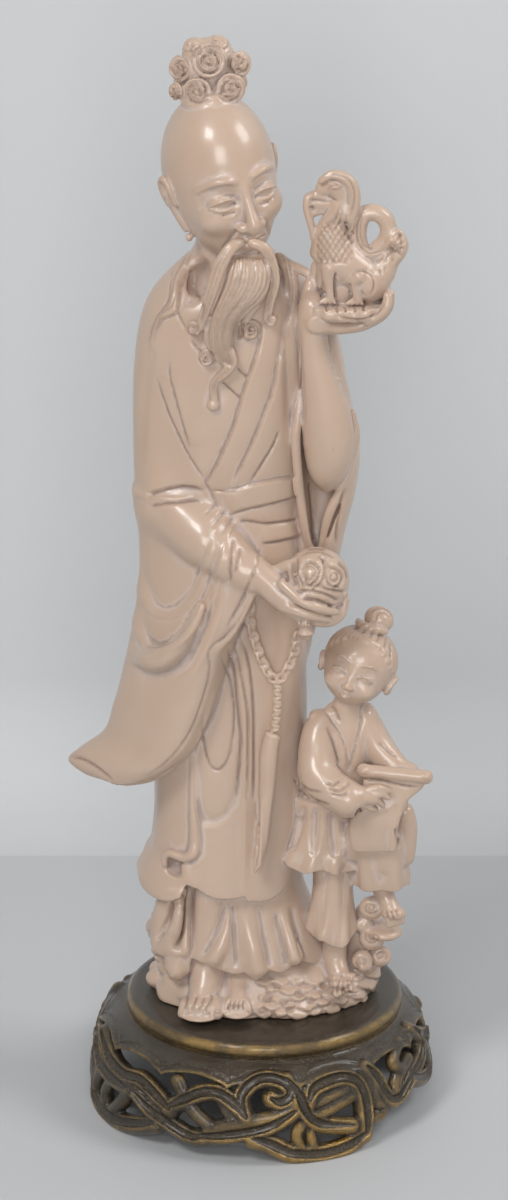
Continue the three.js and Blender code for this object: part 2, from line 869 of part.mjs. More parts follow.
// The boy who reads a scroll, one foot up on the cloud.
function boyBody() {
  const jacket = loft(
    [
      [103, 11.5, -8, 30.5, -8, 8],
      [112, 10.6, -8, 30.5, -8, 8.2],
      [123, 11.6, -8, 33, -8, 8],
      [131, 13, -8.5, 34.6, -8.5, 7.2],
      [138, 16.6, -9, 33.6, -9, 6.2],
      [144, 21, -9.5, 31, -9.5, 4.4],
    ],
    { sides: 14 },
  );
  const neck = limb(
    [
      [26, -9.5, 139, 3.8],
      [28, -10, 147, 3.8],
    ],
    { sides: 7, steps: 1 },
  );
  const lapels = [
    [
      [21.5, -14, 141, 1.2],
      [24, -16.4, 128, 1.5],
      [28.5, -16.4, 114, 1.4],
    ],
    [
      [31.6, -13.4, 139, 1.2],
      [30, -16.4, 128, 1.5],
      [26, -16.6, 113, 1.4],
    ],
  ].map((path) => limb(path, { sides: 4, steps: 3 }));
  const sash = loft(
    [
      [104, 10.6, -8, 31, -8, 8.9],
      [108.5, 10.4, -8, 31, -8, 8.9],
    ],
    { sides: 14 },
  );
  const skirt = loft(
    [
      [86, 5.2, -8.5, 30.6, -8.5, 11],
      [94, 7, -8.3, 30.8, -8.3, 10],
      [106, 11, -8, 30, -8, 8.2],
    ],
    { sides: 28, ripple: (turn, z) => 1 * Math.cos(9 * turn) * ((106 - z) / 20) },
  );
  const sleeves = [
    [
      [18, -9, 134, 4.8],
      [14.8, -11.5, 124, 5.6],
      [17.6, -15, 113.6, 6],
      [24, -18.5, 110, 5.6],
      [28.2, -20, 110, 5.2],
    ],
    [
      [32.5, -8.6, 133, 4.4],
      [38, -9.5, 123.6, 4.6],
      [43.6, -13, 117.6, 4],
    ],
  ].map((path) => limb(path, { sides: 8, steps: 5 }));
  return join([jacket, neck, sash, skirt, ...lapels, ...sleeves]);
}

function boyHead() {
  const middle = [30.3, -10.5, 155.6];
  const skull = egg(middle, [11.4, 11, 12], [0, 18, 0], 12, 9);
  const knot = egg([36.6, -10, 169.6], [5, 4.6, 4.4], [0, 18, 0], 8, 6);
  const stem = egg([34.4, -10, 165.6], [4.2, 4.2, 3], [0, 18, 0], 7, 4);
  const hair = egg([31.6, -8.4, 157.6], [11.6, 11, 11.6], [0, 18, 0], 10, 7);
  const ear = egg([41, -9, 149], [1.6, 2.4, 3.2], [0, 15, 0], 6, 4);
  const tuft = egg([20, -8.5, 155], [2, 3.4, 5.4], [0, 10, 0], 6, 4);
  const nose = egg([25.6, -20.2, 151.6], [1.4, 2, 2], [0, 15, 0], 5, 4);
  return join([skull, knot, stem, hair, ear, tuft, nose]);
}

function boyLegs() {
  const standing = limb(
    [
      [22.4, -10, 92, 6.4],
      [22.3, -11, 76, 6.2],
      [21.6, -12, 66, 6.8],
      [21.2, -12.4, 59, 7.6],
    ],
    { sides: 10, steps: 4 },
  );
  const thigh = limb(
    [
      [27, -8, 98, 7],
      [34, -12, 99.5, 7.4],
      [39.6, -14.5, 98.5, 6.8],
    ],
    { sides: 9, steps: 3 },
  );
  const trouser = loft(
    [
      [83.4, 28, -13, 46.4, -13, 7.2],
      [91, 27.6, -13, 46, -13, 7],
      [100, 28, -13, 46.6, -13, 6.6],
      [107, 31, -12.5, 45, -12.5, 5],
    ],
    { sides: 14, ripple: (turn, z) => 0.7 * Math.cos(6 * turn) * ((107 - z) / 24) },
  );
  const shins = [
    [
      [22.6, -13, 60, 3.6],
      [23, -13.6, 50, 3.4],
    ],
    [
      [37.6, -12, 88, 3.8],
      [37.8, -12.4, 72, 3.3],
    ],
  ].map((path) => limb(path, { sides: 7, steps: 2 }));
  return join([
    standing,
    thigh,
    trouser,
    ...shins,
    foot([23.8, -11.4, 43.4], -6, 0.92),
    foot([38, -10.4, 65], -18, 0.84),
  ]);
}

function scroll() {
  const roll = limb(
    [
      [31, -17, 119.6, 2.5],
      [51, -17.5, 117.4, 2.6],
    ],
    { sides: 8, steps: 1 },
  );
  const sheet = loft(
    [
      [93.5, 28, -19.5, 43.5, -19.5, 1.6],
      [97, 26, -20.5, 46, -19.5, 1.8],
      [104, 26.4, -21.2, 47, -19.5, 1.8],
      [109.5, 29, -21, 45.6, -20, 1.8],
      [113, 32, -19.5, 48.6, -19.5, 1.7],
      [119, 31.6, -17.5, 51, -18, 1.6],
    ],
    { sides: 12, square: 3 },
  );
  const hand = egg([33.2, -21.6, 110.8], [4.4, 2.8, 2.8], [0, 10, 0], 7, 5);
  const fingers = [0, 1, 2].map((number) =>
    limb(
      [
        [34.4, -23, 112 - number * 1.7, 1.1],
        [38.6 - number * 0.5, -22.4, 112.4 - number * 1.9, 0.9],
      ],
      { sides: 5, steps: 1 },
    ),
  );
  return join([roll, sheet, hand, ...fingers]);
}

// The cloud that everyone stands on, with the tall curl under the boy's raised foot.
function clouds() {
  const bank = loft(
    [
      [plateTop, -35.5, -1, 34, -1, 24.6],
      [41, -36.8, -1, 35.5, -1, 26],
      [46, -35.2, 0, 34.5, 0, 24.4],
      [50, -30, 1.5, 31, 1.5, 20],
    ],
    { sides: 36, ripple: (turn) => 0.8 * Math.cos(12 * turn + 0.4) },
  );
  const tower = limb(
    [
      [30.6, -3, 42, 6.6],
      [32, -4, 52, 6.2],
      [32, -6, 60, 5.6],
      [33.6, -8, 66, 5],
    ],
    { sides: 9, steps: 5 },
  );
  const perch = egg([38, -13, 62.4], [6.6, 7.4, 2.6], [0, 0, 0], 8, 5);
  const curls = [
    [[33.6, -12.6, 61], [0.1, -1, 0.2], 4],
    [[33, -9.6, 51], [0.25, -1, 0.2], 4.4],
    [[-4, -19.5, 48], [0, -0.75, 0.65], 4.4],
    [[7.6, -19.2, 48], [0.05, -0.75, 0.65], 4.4],
    [[2, -23.6, 43.4], [0, -0.9, 0.5], 4],
    [[13.4, -22.4, 43.4], [0.2, -0.9, 0.5], 4],
    [[29.5, -13.5, 44], [0.7, -0.8, 0.4], 3.8],
    [[-31.5, -14, 45], [-0.7, -0.7, 0.4], 4],
    [[-20, 21.5, 45.5], [-0.4, 1, 0.4], 4.4],
    [[2, 24, 45.5], [0, 1, 0.4], 4.4],
    [[22, 20.5, 45.5], [0.4, 1, 0.4], 4.4],
  ].map(([middle, facing, radius], number) =>
    curl(middle, facing, radius, 1.3, { sides: 4, steps: 7, start: number * 0.3 }),
  );
  return join([
    bank,
    tower,
    perch,
    ...curls,
    foot([-17.8, -14.4, 39], 8, 1.3),
    foot([-5.5, -14.6, 41.6], -4, 0.85),
  ]);
}

// Everything of a solid that lies above a height.
function above(solid, z) {
  return solid.subtract(solidFrom(new THREE.BoxGeometry(200, 200, 40).translate(0, 0, z - 20)));
}

function figure() {
  const whole = join([
    robes(),
    loweredSleeve(),
    raisedSleeve(),
    sageHead(),
    topknot(),
    whiskers(),
    raisedHand(),
    beast(),
    loweredHand(),
    boyBody(),
    boyHead(),
    boyLegs(),
    scroll(),
    clouds(),
  ]);
  return above(whole, plateTop + seat);
}

// The stand

// The bell that the pierced work lies on, as [height, radius] from the ground up. Its axis
// stands a little to the left of the table's.
const bell = [
  [-2, 54.6],
  [0, 54.8],
  [8, 55],
  [15, 54.4],
  [21, 52.6],
  [27, 48.6],
  [31.5, 43.6],
];
const bellShift = -1;

function onBell(turn, z, out = 0) {
  const passed = bell.filter(([height]) => height <= z).length;
  const low = THREE.MathUtils.clamp(passed - 1, 0, bell.length - 2);
  const share = (z - bell[low][0]) / (bell[low + 1][0] - bell[low][0]);
  const radius = THREE.MathUtils.lerp(bell[low][1], bell[low + 1][1], share) + out;
  return [radius * Math.sin(turn * degree) + bellShift, -radius * Math.cos(turn * degree), z];
}

function table() {
  const profile = [
    [0, 28.6],
    [41, 28.6],
    [44.4, 31],
    [43, 32.4],
    [44.6, 33.6],
    [44.4, 35.2],
    [plateRadius - 0.8, plateTop],
    [0, plateTop],
  ];
  const lathe = new THREE.LatheGeometry(
    profile.map(([r, z]) => new THREE.Vector2(r, z)),
    36,
  ).rotateX(Math.PI / 2);
  return solidFrom(lathe);
}

// The shoulder under the table, with a wavy lower edge.
function shoulder() {
  const steps = 60;
  const rings = Array.from({ length: steps }, (_, step) => {
    const turn = (step / steps) * 360;
    const edge = 25.4 + 1.4 * Math.cos(turn * 12 * degree);
    return [
      onBell(turn, 31.4, 0.6),
      onBell(turn, (edge + 31) / 2, 1.2),
      onBell(turn, edge, 1.2),
      onBell(turn, edge, -2.6),
      onBell(turn, 31.4, -5),
    ].map((point) => new THREE.Vector3(...point));
  });
  const size = rings[0].length;
  const index = [];
  for (let step = 0; step < steps; step++) {
    const next = (step + 1) % steps;
    for (let k = 0; k < size; k++) {
      const [a, b] = [step * size + k, step * size + ((k + 1) % size)];
      const [c, d] = [next * size + ((k + 1) % size), next * size + k];
      index.push(a, b, c, a, c, d);
    }
  }
  const geometry = new THREE.BufferGeometry().setFromPoints(rings.flat());
  geometry.setIndex(index);
  return solidFrom(geometry);
}

// Branches of one half of the pierced skirt, as [turn from the front, height] with a radius.
// The same half, turned about, makes the back. Feet fall near 24 and -68 degrees.
const branches = [
  [2.4, [-78, 25], [-66, 21], [-55, 19.5], [-46, 20.5], [-38, 17.6], [-32, 14.6]],
  [2.5, [-33, 15], [-27, 18.8], [-21, 22], [-15, 22.6], [-9, 19.6], [-5, 15.6]],
  [2.3, [-48, 15.5], [-41, 12.2], [-33, 9.6], [-25, 7], [-20, 7.4]],
  [2.2, [-24, 7], [-12, 8.8], [-2, 11], [4, 13], [11, 17]],
  [2.1, [-18, 10.6], [-9, 13.6], [-1, 15], [8, 16.6], [12, 20]],
  [2.4, [-5.5, 16], [-7, 22], [-3, 26.4], [3, 27.4], [9, 25.6], [10, 22.2], [6.5, 20.4], [3.4, 21.6]],
  [2.3, [9, 27], [13, 22], [15, 16.6], [20, 12], [32, 9]],
  [2.6, [16, 20], [19, 24], [28, 25.4], [34.5, 23.2], [37, 18], [37.6, 11], [37, 4.6]],
  [2.6, [37, 5], [31, 2.4], [24, 1.4], [17, 1.6], [10, 2.8], [3, 6.4], [-3, 8.4]],
  [1.7, [17, 18.6], [26, 20.6], [34, 22]],
  [1.7, [18, 14.4], [26, 17], [35, 19.4]],
  [1.5, [15, 13.6], [12, 10], [12.6, 6], [15, 2.6]],
  [1.4, [17, 12], [17.2, 7], [18.4, 3]],
  [2, [40, 25], [42, 20], [42.4, 15], [45.6, 12.6], [44.6, 9.8], [38, 9.8]],
  [2.4, [40, 26], [44, 21.6], [48, 14], [54, 12], [62, 15.6], [73, 18.4], [77, 23.4], [72, 28]],
  [1.8, [62, 27.6], [55, 24], [58, 20.4], [64, 21.6]],
  [1.8, [58, 20.6], [54, 16.6], [52, 12.6]],
  [2.2, [77, 24], [84, 19], [86, 12.6], [80, 9.6], [70, 12], [62, 16]],
  [2.3, [-101, 24], [-92, 20], [-86, 21], [-76, 17], [-64, 15.4], [-52, 15.6]],
  [2.6, [-72, 16], [-78, 9], [-79, 3], [-69, 1.4], [-58, 2], [-48, 4.6], [-38, 8]],
  [2, [-62, 4.4], [-55, 11], [-50, 18]],
  [2, [-80, 6], [-88, 8], [-96, 12.6], [-100, 20]],
  [1.8, [-68, 3], [-68, 9], [-63, 15]],
  [2, [-31, 24], [-25, 17], [-18, 12], [-12, 9.4]],
  [1.7, [-14, 21], [-10, 15], [-5, 11]],
];

const thickness = 1.22; // how much stouter every branch is than its drawn line

function stand() {
  const bars = [0, 180].flatMap((half) =>
    branches.map(([radius, ...line]) =>
      limb(
        line.map(([turn, z]) => [...onBell(turn + half, z, -0.8), radius * thickness]),
        { sides: 6, steps: line.length + 1 },
      ),
    ),
  );
  return above(join([table(), shoulder(), ...bars]), 0);
}

const resin = new THREE.MeshStandardMaterial({ color: 0xb9a08c, roughness: 0.35, metalness: 0 });
const bronze = new THREE.MeshStandardMaterial({ color: 0x4a3c26, roughness: 0.45, metalness: 0.85 });

function named(name, solid, triangles, material) {
  const mesh = new THREE.Mesh(thinned(geometryFrom(solid), triangles), material);
  mesh.name = name;
  return mesh;
}

const statuette = new THREE.Group();
statuette.add(named("figure_group", figure(), figureTriangles, resin));
statuette.add(named("pierced_stand", stand(), standTriangles, bronze));
statuette.position.copy(originShift);

export default statuette;
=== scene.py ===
import math

import bpy
import numpy as np
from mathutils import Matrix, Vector


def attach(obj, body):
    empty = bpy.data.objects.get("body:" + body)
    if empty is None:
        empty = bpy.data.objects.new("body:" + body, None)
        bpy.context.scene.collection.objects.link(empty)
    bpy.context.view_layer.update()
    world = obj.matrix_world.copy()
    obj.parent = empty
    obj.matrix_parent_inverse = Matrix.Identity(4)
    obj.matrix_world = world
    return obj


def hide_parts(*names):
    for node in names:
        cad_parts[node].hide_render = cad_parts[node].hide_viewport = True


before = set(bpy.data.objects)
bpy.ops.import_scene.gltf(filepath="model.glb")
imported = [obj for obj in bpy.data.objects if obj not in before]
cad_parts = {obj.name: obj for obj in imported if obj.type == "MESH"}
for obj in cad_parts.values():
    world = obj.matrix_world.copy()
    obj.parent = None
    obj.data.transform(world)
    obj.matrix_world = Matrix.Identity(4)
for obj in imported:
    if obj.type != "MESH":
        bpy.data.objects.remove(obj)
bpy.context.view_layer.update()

# The forms below are in millimetres about the middle of the stand's table, +Z up, front to -Y.
standMiddle = np.array([3.8, 0.0, 0.0])  # where that middle lies in the frame

# Camera, at the height and distance the picture was taken from
camera = {
    "place": (-3.4, -1500.0, 742.0), "down": 20.8, "focal": 5040.0, "tall": 1200, "middle": (254.0, 600.0),
}


def makeCamera():
    data = bpy.data.cameras.new("camera")
    data.lens = camera["focal"] / camera["tall"] * 36
    data.clip_start, data.clip_end = 0.1, 20
    eye = bpy.data.objects.new("camera", data)
    bpy.context.scene.collection.objects.link(eye)
    eye.location = Vector((np.array(camera["place"]) + standMiddle) * 0.001)
    eye.rotation_euler = (math.radians(90 - camera["down"]), 0, 0)
    bpy.context.scene.camera = eye


makeCamera()


def seenAt(points):  # picture place and depth of points, as the camera sees them
    tilt = math.radians(camera["down"])
    away = points - np.array(camera["place"])
    depth = away[:, 1] * math.cos(tilt) - away[:, 2] * math.sin(tilt)
    up = away[:, 1] * math.sin(tilt) + away[:, 2] * math.cos(tilt)
    scale = camera["focal"] / depth
    return np.stack([camera["middle"][0] + away[:, 0] * scale, camera["middle"][1] - up * scale, depth], -1)


# Clay: a grid of distances to the surface, built up and cut away form by form
clay = {}


def newClay(low, high, cell):
    clay["low"] = np.array(low, float)
    clay["cell"] = cell
    clay["size"] = np.ceil((np.array(high) - clay["low"]) / cell).astype(int) + 1
    clay["field"] = np.full(clay["size"], 50.0, np.float32)
    clay["axes"] = [
        (clay["low"][k] + cell * np.arange(clay["size"][k])).astype(np.float32) for k in range(3)
    ]


def window(low, high, margin):
    first = np.floor((np.array(low) - margin - clay["low"]) / clay["cell"]).astype(int)
    last = np.ceil((np.array(high) + margin - clay["low"]) / clay["cell"]).astype(int) + 1
    first, last = np.clip(first, 0, clay["size"]), np.clip(last, 0, clay["size"])
    part = tuple(slice(a, b) for a, b in zip(first, last))
    x, y, z = (clay["axes"][k][part[k]] for k in range(3))
    return part, x[:, None, None], y[None, :, None], z[None, None, :]


def press(part, distance, blend, cut):
    old = clay["field"][part]
    new = -distance if cut else distance
    if cut:
        mix = np.clip(0.5 + 0.5 * (new - old) / blend, 0, 1)
        clay["field"][part] = old + (new - old) * mix + blend * mix * (1 - mix)
    else:
        mix = np.clip(0.5 + 0.5 * (old - new) / blend, 0, 1)
        clay["field"][part] = old + (new - old) * mix - blend * mix * (1 - mix)


def smoothPath(rows, step=1.5):
    rows = np.asarray(rows, float)
    pieces = []
    for k in range(len(rows) - 1):
        a, b, c, d = (rows[min(max(k + n, 0), len(rows) - 1)] for n in (-1, 0, 1, 2))
        count = max(2, int(np.linalg.norm(c[:3] - b[:3]) / step) + 1)
        t = (np.arange(count) / count)[:, None]
        pieces.append(
            0.5 * (2 * b + (c - a) * t + (2 * a - 5 * b + 4 * c - d) * t**2 + (3 * b - a - 3 * c + d) * t**3)
        )
    return np.concatenate([*pieces, rows[-1:]])


# a bar along x, y, z, radius rows
def bar(rows, blend=0.8, flat=1.0, facing=(0, -1, 0), cut=False, step=1.5):
    path = smoothPath(rows, step) if len(rows) > 1 else np.array([rows[0], rows[0]], float)
    path[:, 3] = np.maximum(path[:, 3], 0.15)
    margin = blend + 2 * clay["cell"]
    reach = path[:, 3].max()
    low, high = path[:, :3].min(0) - reach, path[:, :3].max(0) + reach
    part, x, y, z = window(low, high, margin)
    if 0 in (x.size, y.size, z.size):
        return
    start = [s.start for s in part]
    best = np.full((x.size, y.size, z.size), 50.0, np.float32)
    face = np.asarray(facing, float) / np.linalg.norm(facing)
    for a, b in zip(path[:-1], path[1:]):
        r = max(a[3], b[3])
        near, px, py, pz = window(np.minimum(a, b)[:3] - r, np.maximum(a, b)[:3] + r, margin)
        if 0 in (px.size, py.size, pz.size):
            continue
        inner = tuple(slice(s.start - o, s.stop - o) for s, o in zip(near, start))
        run = (b - a)[:3]
        long = max(run @ run, 1e-6)
        ax, ay, az = px - np.float32(a[0]), py - np.float32(a[1]), pz - np.float32(a[2])
        t = np.clip((ax * run[0] + ay * run[1] + az * run[2]) / long, 0, 1).astype(np.float32)
        vx, vy, vz = ax - t * run[0], ay - t * run[1], az - t * run[2]
        radius = a[3] + t * (b[3] - a[3])
        square = vx * vx + vy * vy + vz * vz
        if flat == 1.0:
            distance = np.sqrt(square) - radius
        else:
            across = (vx * face[0] + vy * face[1] + vz * face[2]) ** 2
            wide = np.sqrt(np.maximum(square - across, 0) + across / flat**2)
            steep = np.sqrt(np.maximum(square - across, 0) + across / flat**4) + 1e-4
            distance = wide * (wide - radius) / steep
        best[inner] = np.minimum(best[inner], distance)
    press(part, best, blend, cut)


def turned(x=0.0, y=0.0, z=0.0):  # turns about X, then Y, then Z, in degrees
    a, b, c = np.radians([x, y, z])
    rx = np.array([[1, 0, 0], [0, math.cos(a), -math.sin(a)], [0, math.sin(a), math.cos(a)]])
    ry = np.array([[math.cos(b), 0, math.sin(b)], [0, 1, 0], [-math.sin(b), 0, math.cos(b)]])
    rz = np.array([[math.cos(c), -math.sin(c), 0], [math.sin(c), math.cos(c), 0], [0, 0, 1]])
    return rz @ ry @ rx


def egg(middle, radii, turn=None, blend=0.8, cut=False):
    turn = np.eye(3) if turn is None else turn
    middle, radii = np.asarray(middle, float), np.asarray(radii, float)
    half = np.sqrt((turn**2 @ radii**2))
    part, x, y, z = window(middle - half, middle + half, blend + 2 * clay["cell"])
    if 0 in (x.size, y.size, z.size):
        return
    x, y, z = x - np.float32(middle[0]), y - np.float32(middle[1]), z - np.float32(middle[2])
    k0 = np.float32(0)
    k1 = np.float32(0)
    for k in range(3):
        across = x * np.float32(turn[0, k]) + y * np.float32(turn[1, k]) + z * np.float32(turn[2, k])
        k0 = k0 + (across / radii[k]) ** 2
        k1 = k1 + (across / radii[k] ** 2) ** 2
    k0, k1 = np.sqrt(k0), np.sqrt(k1) + 1e-5
    press(part, (k0 * (k0 - 1) / k1).astype(np.float32), blend, cut)


def eased(at, keys, values):  # smooth curve through a table's rows
    keys, values = np.asarray(keys, float), np.asarray(values, float)
    slope = np.gradient(values, keys, axis=0)
    k = np.clip(np.searchsorted(keys, at) - 1, 0, len(keys) - 2)
    long = keys[k + 1] - keys[k]
    t = np.clip((at - keys[k]) / long, 0, 1)
    if values.ndim == 2:
        t, long = t[:, None], long[:, None]
    return (
        (2 * t**3 - 3 * t**2 + 1) * values[k]
        + (t**3 - 2 * t**2 + t) * long * slope[k]
        + (3 * t**2 - 2 * t**3) * values[k + 1]
        + (t**3 - t**2) * long * slope[k + 1]
    )


def loft(rows, blend=0.8, power=2.4, ripple=None, hem=None, cut=False, soften=2.0):
    # rows run upwards: height, left x, left y, right x, right y, half thickness
    rows = np.asarray(rows, float)
    reach = rows[:, 5].max() + 3
    low = [rows[:, 1].min() - 3, rows[:, [2, 4]].min() - reach, rows[0, 0] - 3]
    high = [rows[:, 3].max() + 3, rows[:, [2, 4]].max() + reach, rows[-1, 0] + 1]
    part, x, y, z = window(low, high, blend + clay["cell"])
    level = z.ravel().astype(float)
    leftX, leftY, rightX, rightY, half = eased(level, rows[:, 0], rows[:, 1:]).T.astype(np.float32)
    midX, midY = (leftX + rightX) / 2, (leftY + rightY) / 2
    runX, runY = (rightX - leftX) / 2, (rightY - leftY) / 2
    wide = np.maximum(np.hypot(runX, runY), 0.3)
    half = np.maximum(half, 0.3)
    ux, uy = runX / wide, runY / wide
    dx, dy = x - midX, y - midY
    along, across = dx * ux + dy * uy, dy * ux - dx * uy
    far = np.sqrt(dx * dx + dy * dy) + 1e-4
    share = (np.abs(along / wide) ** power + np.abs(across / half) ** power) ** (1 / power)
    edge = far / np.maximum(share, 1e-4)
    if ripple:
        edge = edge + ripple(np.arctan2(across / half, along / wide), z, along)
    distance = (far - edge) * np.minimum(1, np.sqrt(np.minimum(wide, half) / edge) + 0.25)
    bottom = rows[0, 0] if not hem else hem(x, y)
    caps = np.maximum(bottom - z, z - rows[-1, 0])
    both = np.maximum(distance, 0) ** 2 + np.maximum(caps + soften, 0) ** 2
    capped = np.where(caps > -soften, np.sqrt(both) - soften, distance)
    distance = np.maximum(np.maximum(distance, caps), np.where(distance > -soften, capped, distance))
    press(part, distance.astype(np.float32), blend, cut)


def curl(middle, facing, radius, thick, turns=1.6, start=0.0, way=1, blend=0.5):  # a flat spiral
    normal = np.asarray(facing, float) / np.linalg.norm(facing)
    side = np.cross((0, 0, 1), normal)
    side = side / max(np.linalg.norm(side), 1e-6) if np.linalg.norm(side) > 0.05 else np.array([1.0, 0, 0])
    up = np.cross(normal, side)
    share = np.linspace(0, 1, int(10 * turns) + 2)
    turn = (start + way * share * turns) * 2 * math.pi
    reach = (radius - thick) * (1 - 0.86 * share)
    place = (
        np.asarray(middle, float)
        + np.outer(np.cos(turn) * reach, side)
        + np.outer(np.sin(turn) * reach, up)
        + np.outer(share * thick * 0.7, normal)
    )
    bar(np.column_stack([place, thick * (1 - 0.35 * share)]), blend, facing=normal)


def skinOf():  # surface nets: the grid's zero level as points and four-sided faces
    field, low, cell = clay["field"], clay["low"], clay["cell"]
    inside = field < 0
    count = np.zeros([n - 1 for n in inside.shape], np.uint8)
    offsets = [(i, j, k) for i in (0, 1) for j in (0, 1) for k in (0, 1)]
    shape = count.shape
    for i, j, k in offsets:
        count += inside[i : i + shape[0], j : j + shape[1], k : k + shape[2]]
    cells = np.argwhere((count > 0) & (count < 8))
    number = np.full(shape, -1, np.int32)
    number[tuple(cells.T)] = np.arange(len(cells))
    total = np.zeros((len(cells), 3))
    hits = np.zeros(len(cells))
    for axis in range(3):
        others = [a for a in range(3) if a != axis]
        for one in (0, 1):
            for two in (0, 1):
                at = cells.copy()
                at[:, others[0]] += one
                at[:, others[1]] += two
                to = at.copy()
                to[:, axis] += 1
                a, b = field[tuple(at.T)].astype(float), field[tuple(to.T)].astype(float)
                cross = (a < 0) != (b < 0)
                share = np.where(cross, a / np.where(cross, a - b, 1), 0)
                place = at - cells + 0.0
                place[:, axis] = share
                total += place * cross[:, None]
                hits += cross
    points = low + cell * (cells + total / hits[:, None])
    faces = []
    for axis in range(3):
        one, two = [(1, 2), (2, 0), (0, 1)][axis]
        a = [slice(1, -1)] * 3
        b = [slice(1, -1)] * 3
        a[axis], b[axis] = slice(0, -1), slice(1, None)
        first, second = inside[tuple(a)], inside[tuple(b)]
        cross = np.argwhere(first != second)
        leaving = first[tuple(cross.T)]
        base = cross + 1
        base[:, axis] -= 1
        ring = []
        for da, db in ((0, 0), (1, 0), (1, 1), (0, 1)):
            at = base.copy()
            at[:, one] += da - 1
            at[:, two] += db - 1
            ring.append(number[tuple(at.T)])
        quad = np.stack(ring, -1)
        quad[~leaving] = quad[~leaving][:, ::-1]
        faces.append(quad)
    return points, np.concatenate(faces)


def biggestBody(points, faces):  # drops crumbs and closed pockets
    label = np.arange(len(points))
    edges = np.concatenate([faces[:, [0, 1]], faces[:, [1, 2]], faces[:, [2, 3]]])
    while True:
        low = np.minimum(label[edges[:, 0]], label[edges[:, 1]])
        fresh = label.copy()
        np.minimum.at(fresh, edges[:, 0], low)
        np.minimum.at(fresh, edges[:, 1], low)
        fresh = fresh[fresh]
        if np.array_equal(fresh, label):
            break
        label = fresh
    keep = label == np.bincount(label).argmax()
    renumber = np.cumsum(keep) - 1
    return points[keep], renumber[faces[keep[faces[:, 0]]]]


def linksOf(faces):
    edges = np.concatenate([faces[:, [k, (k + 1) % faces.shape[1]]] for k in range(faces.shape[1])])
    return edges, np.maximum(np.bincount(edges.ravel(), minlength=faces.max() + 1), 1)


def averaged(values, edges, degree):
    total = np.empty_like(values)
    for k in range(values.shape[1]):
        total[:, k] = np.bincount(edges[:, 0], values[edges[:, 1], k], len(values)) + np.bincount(
            edges[:, 1], values[edges[:, 0], k], len(values)
        )
    return total / degree[:, None]


def relaxed(points, faces, rounds, strength=0.5):
    edges, degree = linksOf(faces)
    for _ in range(rounds):
        points = points + strength * (averaged(points, edges, degree) - points)
        points = points - (strength + 0.02) * (averaged(points, edges, degree) - points)
    return points


def normalsOf(points, faces):
    a, b, c, d = (points[faces[:, k]] for k in range(4))
    cross = np.cross(c - a, d - b)
    total = np.stack(
        [sum(np.bincount(faces[:, k], cross[:, n], len(points)) for k in range(4)) for n in range(3)], -1
    )
    return total / np.maximum(np.linalg.norm(total, axis=1, keepdims=True), 1e-9)


# Carving: strokes drawn on the picture plane, from the front or from behind, pressed along the normals;
# lines, folds and steps also leave painted shade in their grooves
carving = {}
sides = {"front": np.array([1, 1, 1.0]), "back": np.array([-1, -1, 1.0])}


def readyToCarve(points, faces):
    carving["points"], carving["faces"] = points, faces
    carving["normals"] = normalsOf(points, faces)
    carving["push"] = np.zeros(len(points))
    carving["ink"] = np.zeros(len(points))
    tilt = math.radians(camera["down"])
    for side, flip in sides.items():
        seen = seenAt(points * flip)
        towards = -((carving["normals"] * flip) @ np.array([0, math.cos(tilt), -math.sin(tilt)]))
        grid = (seen[:, :2] / 2.5).astype(int)
        key = grid[:, 0] * 1000 + grid[:, 1]
        nearest = np.full(key.max() + 1, 1e9)
        np.minimum.at(nearest, key[towards > 0], seen[towards > 0, 2])
        shown = np.flatnonzero((towards > 0.02) & (seen[:, 2] < nearest[key] + 2.5))
        shown = shown[np.argsort(seen[shown, 1])]
        carving[side] = (shown, seen[shown])


